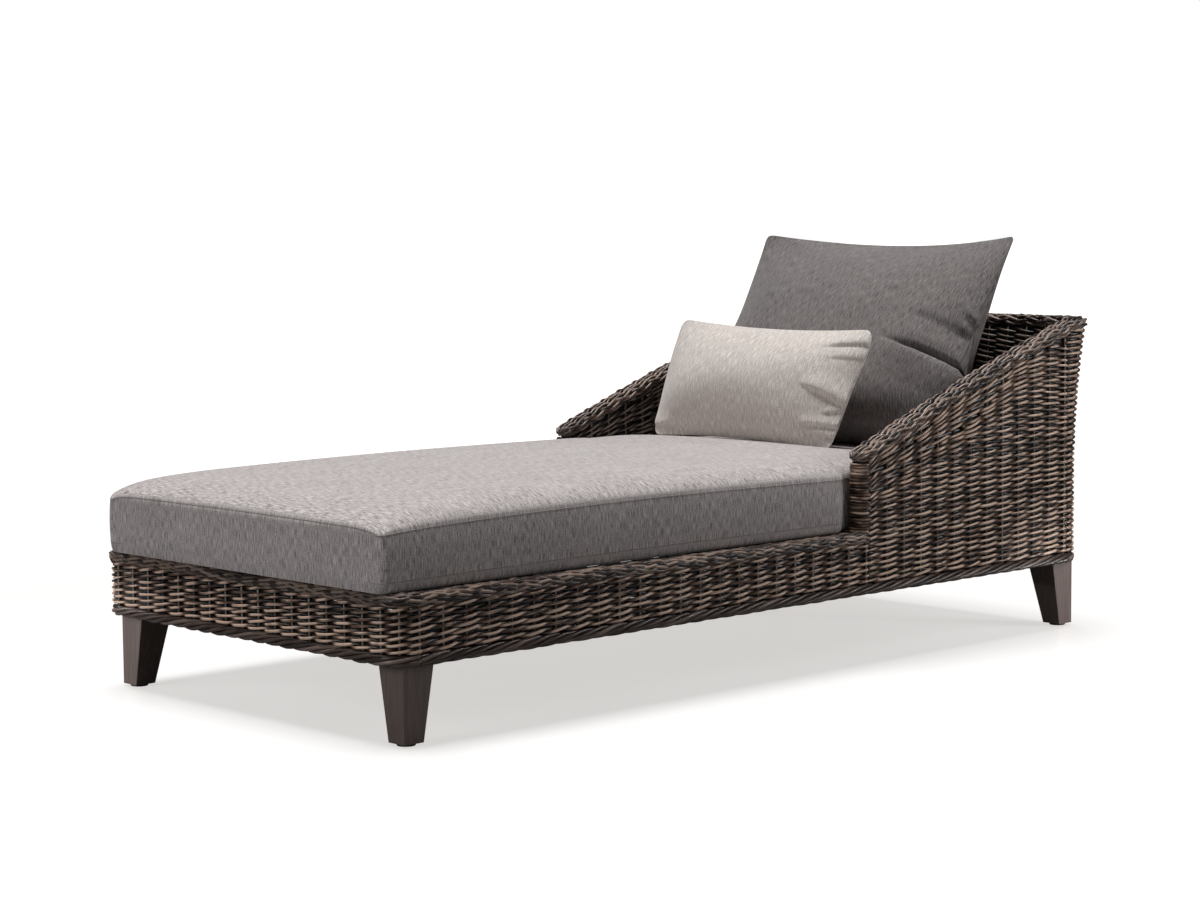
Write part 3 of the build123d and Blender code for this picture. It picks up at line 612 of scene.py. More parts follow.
def arm_nose_place(side):
    """Places round an arm's front end: quarter turn, face, quarter turn, from the outside inwards."""
    turn = arm_end_radius * np.pi / 2
    face = lining_depth - 2 * arm_end_radius

    def place(along, z, depth):
        angle = np.clip(along / arm_end_radius, 0, np.pi / 2)
        angle = angle + np.clip((along - turn - face) / arm_end_radius, 0, np.pi / 2)
        across = np.clip(along - turn, 0, face)
        out = np.stack([-np.sin(angle), side * np.cos(angle)], -1)
        centre_y = side * (half_width - arm_end_radius - across)
        x = arm_panel_x + arm_end_radius * out[:, 0]
        y = centre_y + arm_end_radius * out[:, 1]
        xy = np.stack([x, y], -1) - out * np.asarray(depth)[:, None]
        return with_height(xy, z), with_height(out, 0)

    return place, 2 * turn + face


def fan_rows(start_x, end_x, bottom):
    """Rows of an arm panel, level low down and along the slope near the top.

    From one height for each row at the panel's head end, each row is followed towards the foot end with
    the slope of the arm times how near it is to the top edge. High rows arch down to the rear corner.
    Where rows crowd, the lower one stops.
    """
    x = np.linspace(end_x, start_x, fan_places)
    heights = row_heights(bottom, back_height - rim_height)
    lines = np.empty((len(heights), len(x)))
    lines[:, 0] = heights
    for i in range(1, len(x)):
        line = lines[:, i - 1]
        step = x[i] - x[i - 1]
        slope = (arm_top(x[i]) - arm_top(x[i - 1])) / step
        nearness = np.clip(1 - (arm_top(x[i - 1]) - rim_height - line) / fan_depth, 0, 1)
        turned = np.clip((end_x - x[i]) / fan_ease, 0, 1)
        risen = smooth_step((line - arch_bottom) / arch_height)
        arch = risen * smooth_step((x[i] - arch_start_x) / arch_length)
        lines[:, i] = line + (slope * nearness * turned - arch_slope * arch) * step
    rows = []
    above = arm_top(x) - rim_height + fan_top_share * row_pitch
    for line in lines[::-1]:
        shut = np.flatnonzero(above - line < fan_crowded_share * row_pitch)
        last = shut[0] if len(shut) else len(x)
        if last > fan_fewest_places:
            rows.append((x[:last][::-1], line[:last][::-1]))
            above[:last] = line[:last]
    return rows


def fanned_rows(place, start_x, end_x, bottom, per_stake):
    """The canes of an arm panel. Above the deck its rows start at the arm's front end."""
    strands = []
    for xs, zs in fan_rows(start_x, end_x, bottom):
        along = steps(xs[0], xs[-1], side_stakes_x[1] - side_stakes_x[0], per_stake)
        height = np.interp(along, xs, zs)
        held = start_x if height[0] > deck_height else None
        strands += twined_row(place, along, side_stakes_x, height, 1, held)
        strands.append(filler_cane(place, along, height))
    return strands


# Rims and rope
def closed_profile(width, height, rounding):
    """A rounded rectangle as a function of the share of its edge: its point and the way out there.

    The edge is laid out as four straight runs and four quarter turns, and is read off a fine table.
    """
    corner = [width / 2 - rounding, height / 2 - rounding]
    angle = np.linspace(0, 2 * np.pi, 720, endpoint=False)
    out = np.stack([np.cos(angle), np.sin(angle)], -1)
    point = out * rounding + np.sign(np.round(out, 9)) * corner
    point = np.concatenate([point, point[:1]])
    out = np.concatenate([out, out[:1]])
    edge = lengths_along(point)
    edge_share = edge / edge[-1]

    def read(share):
        share = np.mod(share, 1)
        at = np.stack([np.interp(share, edge_share, point[:, k]) for k in (0, 1)], -1)
        way = np.stack([np.interp(share, edge_share, out[:, k]) for k in (0, 1)], -1)
        return at, unit(way)

    return read


def spiral(line, part, read, lay, count, radius, scale=1, lift=0):
    """Canes that spiral round a profile as it is carried along part of a line.

    A cane's share of the edge is its start plus the length over the lay, and a cosine of the length lifts
    and sinks it, once for each cane that it passes.
    """
    centre, side_way, up_way, along = [table[part] for table in line]
    strands = []
    for i in range(count):
        at, way = read(i / count + along / lay)
        rise = lift * np.cos(2 * np.pi * along * (count / lay)) - radius
        at = (at + way * rise[:, None]) * np.asarray(scale).reshape(-1, 1)
        path = centre + side_way * at[:, :1] + up_way * at[:, 1:]
        outward = side_way * way[:, :1] + up_way * way[:, 1:]
        path = path + outward * wobble(along, spiral_wobble)[:, None]
        strands.append((path, outward, radius * rng.uniform(*rim_size_shares), rng.random()))
    return strands


def crossed_spirals(line, part, read, lay, count, radius, scale, lift):
    """Two sets of canes that spiral opposite ways and pass over and under each other."""
    strands = spiral(line, part, read, lay, count, radius, scale, lift)
    return strands + spiral(line, part, read, -lay, count, radius, scale, -lift)


def cut_runs(runs, strands_of, sides, finish, slot):
    """Settle one piece for each run of a line, from its name, its CAD node and the places that it keeps."""
    for name, cad_node, keep in runs:
        places = np.flatnonzero(keep)
        part = np.arange(max(places[0] - 1, 0), min(places[-1] + 2, len(keep)))
        settle(bundle(name, strands_of(part), sides), finish, slot, cad_node)


def rope_border():
    """Five thick canes laid up as a rope once round the bottom edge, cut into the four CAD lengths."""
    straight = head_x - corner_radius - foot_corner_x
    centre_radius = corner_radius - border_radius
    turn = centre_radius * np.pi / 2
    runs = [straight, turn, 2 * flat_half, turn, straight, turn, 2 * flat_half, turn]
    ends = np.concatenate([[0], np.cumsum(runs)])
    length = 2 * (straight + 2 * flat_half) + 4 * turn
    along = np.linspace(0, length, 1100)
    gone = [np.clip(along - end, 0, run) for end, run in zip(ends, runs)]
    angle = (gone[1] + gone[3] + gone[5] + gone[7]) / turn * np.pi / 2
    out = np.stack([np.sin(angle), -np.cos(angle)], -1)
    x = foot_corner_x + gone[0] - gone[4] + centre_radius * out[:, 0]
    y = -flat_half + gone[2] - gone[6] + centre_radius * out[:, 1]
    centre = with_height(np.stack([x, y], -1), base_bottom + border_radius)
    line = (centre, with_height(out, 0), np.broadcast_to([0.0, 0.0, 1.0], centre.shape), along)
    read = closed_profile(2 * border_radius, 2 * border_radius, border_radius - round_limit)

    def strands_of(part):
        return spiral(line, part, read, ends[-1] / rope_turns, rope_strand_count, rope_strand_radius)

    cuts = (
        ("near_rope_border", "near_border", along <= ends[1]),
        ("head_rope_border", "head_border", (along >= ends[1]) & (along <= ends[4])),
        ("far_rope_border", "far_border", (along >= ends[4]) & (along <= ends[5])),
        ("foot_rope_border", "foot_border", along >= ends[5]),
    )
    cut_runs(cuts, strands_of, rope_sides, rope_finish, "rope_cane")


def rim_line():
    """The centre line of the top rim: up one arm, round both rear corners and down the other arm.

    It gives the points, the sideways and upward ways across the rim and the length along it, and the
    length at which the first arm ends.
    """
    middle_y = half_width + rim_proud - (lining_depth + rim_proud) / 2
    back_middle = (rim_joint_x + head_x + rake + rim_proud) / 2
    corner_x = back_middle - rim_turn_radius
    x_run = np.linspace(arm_front_x - rim_proud + rim_front_gap, corner_x, 150)
    angle = np.linspace(0, np.pi / 2, 14)[1:-1]
    turn_x = corner_x + rim_turn_radius * np.sin(angle)
    turn_y = -(middle_y - rim_turn_radius) - rim_turn_radius * np.cos(angle)
    y_run = np.linspace(-(middle_y - rim_turn_radius), 0, 100)
    x = np.concatenate([x_run, turn_x, np.full(len(y_run), back_middle)])
    y = np.concatenate([np.full(len(x_run), -middle_y), turn_y, y_run])
    top = np.minimum(arm_top(np.minimum(x, rim_joint_x)), back_height)
    half = np.stack([x, y, top - rim_height / 2], -1)
    centre = np.concatenate([half, half[::-1][1:] * [1, -1, 1]])
    tangent = unit(np.gradient(centre, axis=0))
    side_way = unit(np.cross(tangent, np.broadcast_to([0.0, 0.0, 1.0], centre.shape)))
    along = lengths_along(centre)
    arm_end = np.interp(rim_joint_x - rim_cut_setback, x_run, along[: len(x_run)])
    return (centre, side_way, np.cross(side_way, tangent), along), arm_end


def braided_rim():
    """Crossed canes over the top rim, cut into the three CAD lengths and drawn in at both front ends."""
    line, arm_end = rim_line()
    along = line[3]
    total = along[-1]
    read = closed_profile(lining_depth + rim_proud, rim_height, rim_rounding)
    lay = total / rim_turns
    nose = np.minimum(along, total - along)
    scale = np.sqrt(np.clip(nose / (rim_height / 2), rim_nose_share, 1))

    def strands_of(part):
        return crossed_spirals(line, part, read, lay, rim_cane_count, rim_cane_radius, scale[part], rim_lift)

    cuts = (
        ("near_arm_braid", "near_arm_rim", along <= arm_end),
        ("back_braid", "back_rim", (along >= arm_end) & (along <= total - arm_end)),
        ("far_arm_braid", "far_arm_rim", along >= total - arm_end),
    )
    cut_runs(cuts, strands_of, cane_sides, rim_finish, "rim_cane")


def rolled_base_rim():
    """Canes with a long lay over the rounded rim of the base, round two core canes painted near black as
    shade.

    The line goes up the near side from the arm, round the foot end and back along the far side.
    """
    straight = arm_panel_x - foot_corner_x
    inset = base_rim_width / 2 - rim_proud
    along = np.linspace(0, 2 * straight + foot_length, 340)
    near = np.clip(along, 0, straight)
    far = np.clip(along - straight - foot_length, 0, straight)
    point, out = foot_outline(np.clip(along - straight, 0, foot_length))
    x = point[:, 0] - out[:, 0] * inset + straight - near + far
    y = point[:, 1] - out[:, 1] * inset
    centre = with_height(np.stack([x, y], -1), base_rim_bottom + base_rim_height / 2)
    out = with_height(out, 0)
    up = np.broadcast_to([0.0, 0.0, 1.0], centre.shape)
    line = (centre, out, up, along)
    read = closed_profile(base_rim_width, base_rim_height, base_rim_rounding)

    def strands_of(part):
        canes = (base_cane_count, base_cane_radius, 1, base_rim_lift)
        strands = crossed_spirals(line, part, read, roll_lay, *canes)
        # Two core canes fill the rim's inside, painted near black as the shade there.
        for offset in (-base_core_offset, base_core_offset):
            strands.append((centre[part] + out[part] * offset, up[part], base_core_radius, painted_shade_tone))
        return strands

    cuts = (
        ("near_base_roll", "near_base_rim", along <= straight),
        ("foot_roll", "foot_rim", (along >= straight) & (along <= straight + foot_length)),
        ("far_base_roll", "far_base_rim", along >= straight + foot_length),
    )
    cut_runs(cuts, strands_of, cane_sides, rim_finish, "rim_cane")


def upright(place, at, bottom, top, count=upright_points):
    """One stake behind the skin from a bottom to a top height."""
    along = np.full(count, float(at))
    path, outward = place(along, np.linspace(bottom, top, count), np.full(count, stake_depth))
    return path, outward, stake_radius * rng.uniform(*stake_size_shares), rng.random()


# Materials
def new_material(name, roughness, specular=0.5):
    """A material with its node tree and its shader."""
    material = bpy.data.materials.new(name)
    material.use_nodes = True
    tree = material.node_tree
    shader = tree.nodes["Principled BSDF"]
    shader.inputs["Roughness"].default_value = roughness
    shader.inputs["Specular IOR Level"].default_value = specular
    return material, tree, shader


def node(tree, kind, values=None, links=None, **settings):
    """Add a node, set its options and input values, and join its inputs."""
    made = tree.nodes.new("ShaderNode" + kind)
    for key, value in settings.items():
        setattr(made, key, value)
    for key, value in (values or {}).items():
        made.inputs[key].default_value = value
    for key, source in (links or {}).items():
        tree.links.new(source, made.inputs[key])
    return made


def noise(tree, vector, scale, detail, roughness=0.5):
    """Noise on a vector that is first scaled by one number for each of its ways."""
    at = node(tree, "Mapping", {"Scale": scale}, {"Vector": vector}).outputs["Vector"]
    values = {"Scale": 1.0, "Detail": detail, "Roughness": roughness}
    return node(tree, "TexNoise", values, {"Vector": at}).outputs["Fac"]


def ranged(tree, value, low, high, to_low=0.0, to_high=1.0, kind="LINEAR"):
    """A value moved from one range to another."""
    values = {"From Min": low, "From Max": high, "To Min": to_low, "To Max": to_high}
    return node(tree, "MapRange", values, {"Value": value}, interpolation_type=kind).outputs["Result"]


def worked_out(tree, operation, first, second, third=None):
    """One step of arithmetic on two or three values, each an output or a number."""
    made = node(tree, "Math", operation=operation)
    for socket, value in zip(made.inputs, (first, second, third)):
        if isinstance(value, float):
            socket.default_value = value
        elif value is not None:
            tree.links.new(value, socket)
    return made.outputs["Value"]


def mixed(tree, factor, first, second):
    """Two colours mixed by a factor, by place, because the node has other sockets of the same names."""
    return node(tree, "Mix", {}, {0: factor, 6: first, 7: second}, data_type="RGBA").outputs[2]


def add_relief(tree, shader, height, strength, distance):
    """Relief on a shader from a height."""
    bump = node(tree, "Bump", {"Strength": strength, "Distance": distance}, {"Height": height})
    tree.links.new(bump.outputs["Normal"], shader.inputs["Normal"])


def add_ramp(tree, shader, factor, first, second):
    """A shader's colour from a ramp between two stops, each a place and a colour."""
    ramp = node(tree, "ValToRGB", {}, {"Fac": factor})
    for element, (place, colour) in zip(ramp.color_ramp.elements, (first, second)):
        element.position = place
        element.color = (*colour, 1)
    tree.links.new(ramp.outputs["Color"], shader.inputs["Base Color"])


def new_group(name, inputs, outputs):
    """A node group with its inputs and outputs, each a name and a kind of socket."""
    group = bpy.data.node_groups.new(name, "ShaderNodeTree")
    for way, sockets in (("INPUT", inputs), ("OUTPUT", outputs)):
        for label, kind in sockets.items():
            group.interface.new_socket(label, in_out=way, socket_type="NodeSocket" + kind)
    return group, group.nodes.new("NodeGroupInput").outputs, group.nodes.new("NodeGroupOutput").inputs


def use_group(tree, group, values, links):
    """The outputs of a group placed in a material with its own colours and values."""
    values = {key: (*value, 1) if isinstance(value, tuple) else value for key, value in values.items()}
    return node(tree, "Group", values, links, node_tree=group).outputs


def cane_grain_group():
    """Cane colour and grain: each cane's tone with its painted light and shade, long streaks and fine fibres
    along it.
    """
    inputs = {"Vector": "Vector", "Tone": "Float", "Dark": "Color", "Middle": "Color", "Light": "Color"}
    outputs = {"Color": "Color", "Height": "Float", "Roughness": "Float"}
    group, given, result = new_group("cane grain", inputs, outputs)
    streak = noise(group, given["Vector"], (14, 260, 260), 3.0, 0.6)
    fibre = noise(group, given["Vector"], (40, 1500, 1500), 2.0)
    # The tone carries each cane's own random tone and its painted light and shade.
    own = ranged(group, given["Tone"], -1.0, 1.0, -0.7, 0.3)
    shade = worked_out(group, "ADD", streak, own)
    lower = ranged(group, shade, 0.22, 0.52, kind="SMOOTHSTEP")
    upper = ranged(group, shade, 0.50, 0.76, kind="SMOOTHSTEP")
    darker = mixed(group, lower, given["Dark"], given["Middle"])
    group.links.new(mixed(group, upper, darker, given["Light"]), result["Color"])
    group.links.new(worked_out(group, "MULTIPLY_ADD", fibre, 0.6, streak), result["Height"])
    group.links.new(ranged(group, streak, 0.3, 0.7, 0.26, 0.42), result["Roughness"])
    return group


def heather_cloth_group():
    """Woven cloth on the piece's UV map: slubs along the warp, a finer weft and a faint cloud."""
    inputs = {"Vector": "Vector", "Dark": "Color", "Light": "Color", "Streak": "Float"}
    group, given, result = new_group("heather cloth", inputs, {"Color": "Color", "Height": "Float"})
    warp = noise(group, given["Vector"], (520, 46, 1), 1.0)
    weft = noise(group, given["Vector"], (130, 620, 1), 2.0, 0.6)
    cloud = noise(group, given["Vector"], (9, 9, 9), 2.0)
    warp_part = worked_out(group, "MULTIPLY", warp, given["Streak"])
    both = worked_out(group, "MULTIPLY_ADD", weft, 0.6, warp_part)
    total = worked_out(group, "MULTIPLY_ADD", cloud, 0.12, both)
    factor = ranged(group, total, 0.66, 1.06)
    group.links.new(mixed(group, factor, given["Dark"], given["Light"]), result["Color"])
    group.links.new(both, result["Height"])
    return group


def cane_material(name, dark, middle, light):
    """A cane finish from the shared group, with its own three colours."""
    material, tree, shader = new_material(name, 0.4)
    along = node(tree, "Attribute", attribute_name="cane").outputs["Vector"]
    tone = node(tree, "Attribute", attribute_name="tone").outputs["Fac"]
    colours = {"Dark": dark, "Middle": middle, "Light": light}
    cane = use_group(tree, cane_group, colours, {"Vector": along, "Tone": tone})
    tree.links.new(cane["Color"], shader.inputs["Base Color"])
    tree.links.new(cane["Roughness"], shader.inputs["Roughness"])
    add_relief(tree, shader, cane["Height"], 0.25, cane_relief)
    return material


def fabric_material(name, dark, light, streak=1.0):
    """A cloth finish from the shared group, with its own two colours."""
    material, tree, shader = new_material(name, 0.9, 0.25)
    shader.inputs["Sheen Weight"].default_value = 0.25
    shader.inputs["Sheen Roughness"].default_value = 0.5
    threads = node(tree, "UVMap", uv_map="threads").outputs["UV"]
    values = {"Dark": dark, "Light": light, "Streak": streak}
    cloth = use_group(tree, cloth_group, values, {"Vector": threads})
    tree.links.new(cloth["Color"], shader.inputs["Base Color"])
    add_relief(tree, shader, cloth["Height"], 0.35, cloth_relief)
    return material


def wood_material(name, dark, light):
    """Dark stained hardwood: long grain up the leg with a satin finish."""
    material, tree, shader = new_material(name, 0.38)
    grain = noise(tree, node(tree, "TexCoord").outputs["Object"], (220, 220, 9), 4.0, 0.6)
    add_ramp(tree, shader, grain, (0.35, dark), (0.7, light))
    add_relief(tree, shader, grain, 0.12, plain_relief)
    return material


def plain_material(name, colour, roughness, metallic=0.0, scale=300, strength=0.06):
    """A moulded, coated or plated finish: a faint mottle in its colour and a fine grain in its relief."""
    material, tree, shader = new_material(name, roughness)
    shader.inputs["Metallic"].default_value = metallic
    speck = noise(tree, node(tree, "TexCoord").outputs["Object"], (scale, scale, scale), 2.0)
    dark = [0.85 * part for part in colour]
    light = [min(1.0, 1.12 * part) for part in colour]
    add_ramp(tree, shader, speck, (0.3, dark), (0.7, light))
    add_relief(tree, shader, speck, strength, plain_relief)
    return material


cane_group = cane_grain_group()
# Near-black dark stop of the weave and lining: the blackest of the canes' own streaks, and the painted shade
# of canes behind the stakes and of the backing canes
dark_streak_and_shade = (0.006, 0.004, 0.0035)
weave_finish = cane_material("woven_cane", dark_streak_and_shade, (0.150, 0.091, 0.067), (0.76, 0.55, 0.43))
# The linings are a darker copy of the woven cane: painted shade for the shade inside the arms and the back
shaded_lining_finish = cane_material("shaded_lining_cane", dark_streak_and_shade, (0.040, 0.027, 0.022), (0.24, 0.18, 0.15))
rim_finish = cane_material("rim_cane", (0.009, 0.006, 0.005), (0.050, 0.032, 0.026), (0.25, 0.18, 0.145))
rope_finish = cane_material("rope_cane", (0.022, 0.0145, 0.012), (0.085, 0.058, 0.048), (0.20, 0.145, 0.122))
# The stakes are painted darker so that they read as the dark gaps between the rows: painted shade
stake_finish = cane_material("stake_cane", (0.055, 0.043, 0.037), (0.17, 0.133, 0.113), (0.36, 0.3, 0.255))
cloth_group = heather_cloth_group()
seat_finish = fabric_material("seat_heather", (0.19, 0.168, 0.162), (0.56, 0.51, 0.50))
back_finish = fabric_material("back_heather", (0.070, 0.062, 0.060), (0.228, 0.205, 0.199))
pillow_finish = fabric_material("pillow_linen", (0.45, 0.405, 0.375), (0.86, 0.79, 0.74), 0.8)
thread_finish = plain_material("seam_thread", (0.26, 0.235, 0.228), 0.9)
core_finish = plain_material("cushion_core", (0.6, 0.58, 0.52), 0.95)
tube_finish = plain_material("frame_coat", (0.03, 0.024, 0.02), 0.45)


# Skins of the frame
def add_skin(name, strands, cad_node, finish=weave_finish, sides=cane_sides):
    """One woven skin of the frame."""
    settle(bundle(name, strands, sides), finish, "woven_cane", cad_node)


skin_top = back_height - rim_height
base_rows = row_heights(border_top, base_rim_bottom + row_pitch / 4)
base_along = steps(foot_corner_x, arm_panel_x, side_stakes_x[1] - side_stakes_x[0], skin_steps)
for side, word in ((-1, "near"), (1, "far")):
    outer = side_place(side, half_width, 1)
    inner = side_place(side, inner_half_width, -1)
    strands = twined_rows(outer, base_along, side_stakes_x, base_rows, 1)
    add_skin(f"{word}_base_twining", strands, f"{word}_base_weave")
    strands = fanned_rows(outer, arm_panel_x, panel_end_x, border_top, skin_steps)
    add_skin(f"{word}_arm_twining", strands, f"{word}_arm_weave")
    strands = fanned_rows(inner, arm_panel_x, inner_skin_end_x, deck_height, lining_steps)
    add_skin(f"{word}_arm_inner_twining", strands, f"{word}_arm_lining", shaded_lining_finish, lining_sides)
    nose_place, nose_length = arm_nose_place(side)
    nose_along = np.linspace(0, nose_length, 17)
    strands = []
    for height in row_heights(border_top + nose_first_row * row_pitch, arm_height - rim_height + rim_proud):
        strands += twined_row(nose_place, nose_along, np.array([0, nose_length]), height, 1, nose_length)
    add_skin(f"{word}_arm_nose_twining", strands, f"{word}_arm_end_weave")

foot_along = steps(0, foot_length, skin_pitch, skin_steps)
strands = twined_rows(foot_place, foot_along, foot_stakes, base_rows, -1)
add_skin("foot_twining", strands, "foot_weave")
rear_along = steps(0, rear_length, skin_pitch, skin_steps)
strands = twined_rows(rear_place, rear_along, rear_stakes, row_heights(border_top, skin_top), 1)
add_skin("back_twining", strands, "back_weave")
lining_along = steps(-inner_half_width, inner_half_width, skin_pitch, lining_steps)
lining_rows = row_heights(deck_height, skin_top)
strands = twined_rows(back_lining_place, lining_along, lining_stakes, lining_rows, 1)
add_skin("back_inner_twining", strands, "back_lining", shaded_lining_finish, lining_sides)

# Rims and border of the frame
rope_border()
braided_rim()
rolled_base_rim()

# Stakes of the frame
base_uprights = []
arm_uprights = []
back_uprights = []
base_top = base_rim_bottom + base_stake_overlap
for side in (-1, 1):
    outer = side_place(side, half_width, 1)
    inner = side_place(side, inner_half_width, -1)
    for x in base_stakes_x[1:]:
        base_uprights.append(upright(outer, x, border_top, base_top, short_upright_points))
    for x in arm_stakes_x[1:]:
        top = arm_top(x) - rim_height + stake_overlap
        arm_uprights.append(upright(outer, x, border_top, top))
        arm_uprights.append(upright(inner, x, deck_height, top))
for at in foot_stakes:
    base_uprights.append(upright(foot_place, at, border_top, base_top, short_upright_points))
for at in rear_stakes[1:-1]:
    back_uprights.append(upright(rear_place, at, border_top, skin_top + stake_overlap))
for at in lining_stakes[1:-1]:
    back_uprights.append(upright(back_lining_place, at, deck_height, skin_top))
for word, uprights in (("base", base_uprights), ("arm", arm_uprights), ("back", back_uprights)):
    settle(bundle(f"{word}_stake_canes", uprights), stake_finish, "stake_cane", f"{word}_stakes")


# Cushions
def cushion_object(name, rings):
    """A closed piece from rings along a line, with both ends closed by bowed rings drawn to their middle."""
    caps = []
    for ring, way in ((rings[0], -1), (rings[-1], 1)):
        middle = ring.mean(0)
        cap = [ring + (middle - ring) * share for share in cap_shares]
        for share, part in zip(cap_shares, cap):
            part[:, 0] += way * seat_end_bow * math.sin(math.pi / 2 * min(1, share * cap_bow_pace))
        caps.append(cap)
    stack = np.array(caps[0][::-1] + list(rings) + caps[1])
    count, sides = stack.shape[:2]
    index = np.arange(count * sides).reshape(count, sides)
    after = np.roll(index, -1, axis=1)
    quads = np.stack([index[:-1], index[1:], after[1:], after[:-1]], -1).reshape(-1, 4).tolist()
    quads.append(index[0].tolist())
    quads.append(index[-1][::-1].tolist())
    return make_object(name, stack.reshape(-1, 3), quads)


def corner_vertices(mesh):
    """The number of the vertex at each face corner."""
    corner = np.empty(len(mesh.loops), int)
    mesh.loops.foreach_get("vertex_index", corner)
    return corner


def add_threads(piece, values):
    """A UV map named threads from one value pair for each face corner."""
    layer = piece.data.uv_layers.new(name="threads")
    layer.data.foreach_set("uv", np.asarray(values, np.float32).ravel())


def corner_points(mesh):
    """The point of each face corner, and the facing of its face."""
    points = np.empty(len(mesh.vertices) * 3)
    mesh.vertices.foreach_get("co", points)
    normals = np.empty(len(mesh.polygons) * 3)
    mesh.polygons.foreach_get("normal", normals)
    totals = np.empty(len(mesh.polygons), int)
    mesh.polygons.foreach_get("loop_total", totals)
    facing = np.repeat(normals.reshape(-1, 3), totals, axis=0)
    return points.reshape(-1, 3)[corner_vertices(mesh)], facing


def dense_shares(count):
    """Shares from -1 to 1, closer together near both ends: a sine of even steps."""
    limit = np.pi / 2 * dense_end_share
    return np.sin(np.linspace(-limit, limit, count)) / math.sin(limit)


def rounded_off(share):
    """How far a quarter circle has fallen at a share from its top, from 0 to 1."""
    return 1 - np.sqrt(1 - share**2)


def seat_width(x, corner):
    """Half width of the seat cushion: a rounded foot end, sides drawn in, and a neck between the arms.

    The rounded parts are quarter circles, and the sides are drawn in by a power of a sine.
    """
    from_foot = np.clip((x - seat_foot_x) / corner, 0, 1)
    foot_round = corner * rounded_off(1 - from_foot)
    open_share = np.clip((x - seat_foot_x) / (seat_neck_x - seat_shoulder - seat_foot_x), 0, 1)
    draw = seat_side_draw * np.sin(np.pi * open_share) ** seat_draw_power
    shoulder = np.clip((x - seat_neck_x + seat_shoulder) / seat_shoulder, 0, 1)
    neck = (seat_half_width - seat_neck_half) * rounded_off(shoulder)
    from_head = np.clip((seat_head_x - x) / seat_corner, 0, 1)
    head_round = seat_head_share * seat_corner * rounded_off(1 - from_head)
    return seat_half_width - foot_round - draw - neck - head_round - seat_foot_draw * (1 - open_share) ** 2


def swell_share(from_edge, reach):
    """Share of the crown at a distance from the seam: a rounded edge, then a slow rise up to the reach."""
    edge = np.clip(from_edge / seat_edge_width, 0, 1)
    slow = np.clip(from_edge / reach, 0, 1)
    rounded = np.sqrt(1 - (1 - edge) ** 2)
    return seat_edge_share * rounded + (1 - seat_edge_share) * (1 - (1 - slow) ** seat_swell_power)


def seat_crown_at(x):
    """Rise of the crown above the seam: it swells fast from the foot end and is pressed by the pillows."""
    swell = (seat_crown - seat_foot_crown) * swell_share(x - seat_foot_x, seat_swell_reach)
    pressed = smooth_step((x - seat_press_start_x) / seat_press_length)
    return seat_foot_crown + swell - (seat_crown - seat_pressed_crown) * pressed


def seat_seam_at(x):
    """Height of the top seam: a sine's bow between the foot end and the arms, less a drop at the foot."""
    share = np.clip((x - seat_foot_x) / (seat_neck_x - seat_foot_x), 0, 1)
    drop = seat_corner_drop * np.exp(-share / seat_drop_share)
    return seat_seam + seat_seam_bow * np.sin(np.pi * share) - drop


def wavering(at, slant, waves):
    """The sum of a table's sine waves on a place moved by its slant, with a second sine in each phase."""
    total = 0
    for size, pace, way, waver, slow_pace, start in waves:
        total = total + size * np.sin((at + way * slant) * pace + waver * np.sin(at * slow_pace + start))
    return total


def puckers(x, y, from_seam):
    """Small slanted ripples where the top is sewn to the sides, fading over a few centimetres.

    They start at the seam and fade off as exponentials, and near the foot end the waves along the sides
    give way to waves across it.
    """
    slant = from_seam * pucker_slant
    from_foot = x - seat_foot_x
    foot_part = np.exp(-from_foot / pucker_foot_reach)
    along = wavering(x, slant, side_pucker_waves)
    along = along * np.exp(-from_seam / pucker_reach) * (1 - np.exp(-from_seam / pucker_start))
    cross = wavering(y, slant, foot_pucker_waves) * foot_part * (1 - np.exp(-from_foot / pucker_start))
    return pucker_height * (along * (1 - foot_part) + cross)


def seat_sections(x, across, up):
    """The seat cushion's rings along X, and the ends of its two seams in each: a row for each ring.

    A ring goes round the flat base, up the near side, over the crowned top and down the far side. A row
    holds the place along X, the near half width, the far one and the height.
    """
    inset = seat_base_inset * (1 - np.clip(up / seat_inset_share, 0, 1)) ** 2 + seat_side_lean * (1 - up)
    rings = []
    top_seam = []
    bottom_seam = []
    for place in x:
        near_half = seat_width(place, seat_corner)
        far_half = seat_width(place, seat_far_corner)
        half = np.where(across < 0, near_half, far_half)
        from_side = (1 - np.abs(across)) * half
        seam = seat_seam_at(place)
        free = 1 - seat_held_share * smooth_step((place - seat_neck_x + seat_shoulder) / seat_shoulder)
        side_bow = seat_side_bow * free * np.sin(np.pi * up) ** seat_bow_power - inset
        side_z = seat_bottom + (seam - seat_bottom) * up
        top_z = seam + seat_crown_at(place) * swell_share(from_side, half)
        top_z = top_z + puckers(place, across * half, from_side)
        base_y = np.linspace(far_half + side_bow[0], -near_half - side_bow[0], 9)
        base = np.stack([base_y, np.full(len(base_y), seat_bottom)], -1)
        near = np.stack([-near_half - side_bow[1:-1], side_z[1:-1]], -1)
        top = np.stack([across * half, top_z], -1)
        far = np.stack([far_half + side_bow[1:-1], side_z[1:-1]], -1)[::-1]
        section = np.concatenate([base, near, top, far])
        rings.append(np.concatenate([np.full((len(section), 1), place), section], 1))
        top_seam.append((place, near_half, far_half, seam))
        low_bow = side_bow[low_seam_row]
        bottom_seam.append((place, near_half + low_bow, far_half + low_bow, side_z[low_seam_row]))
    foot_edge = rings[0][len(base) + len(near) : -len(far)]
    return rings, foot_edge, np.array(top_seam), np.array(bottom_seam)


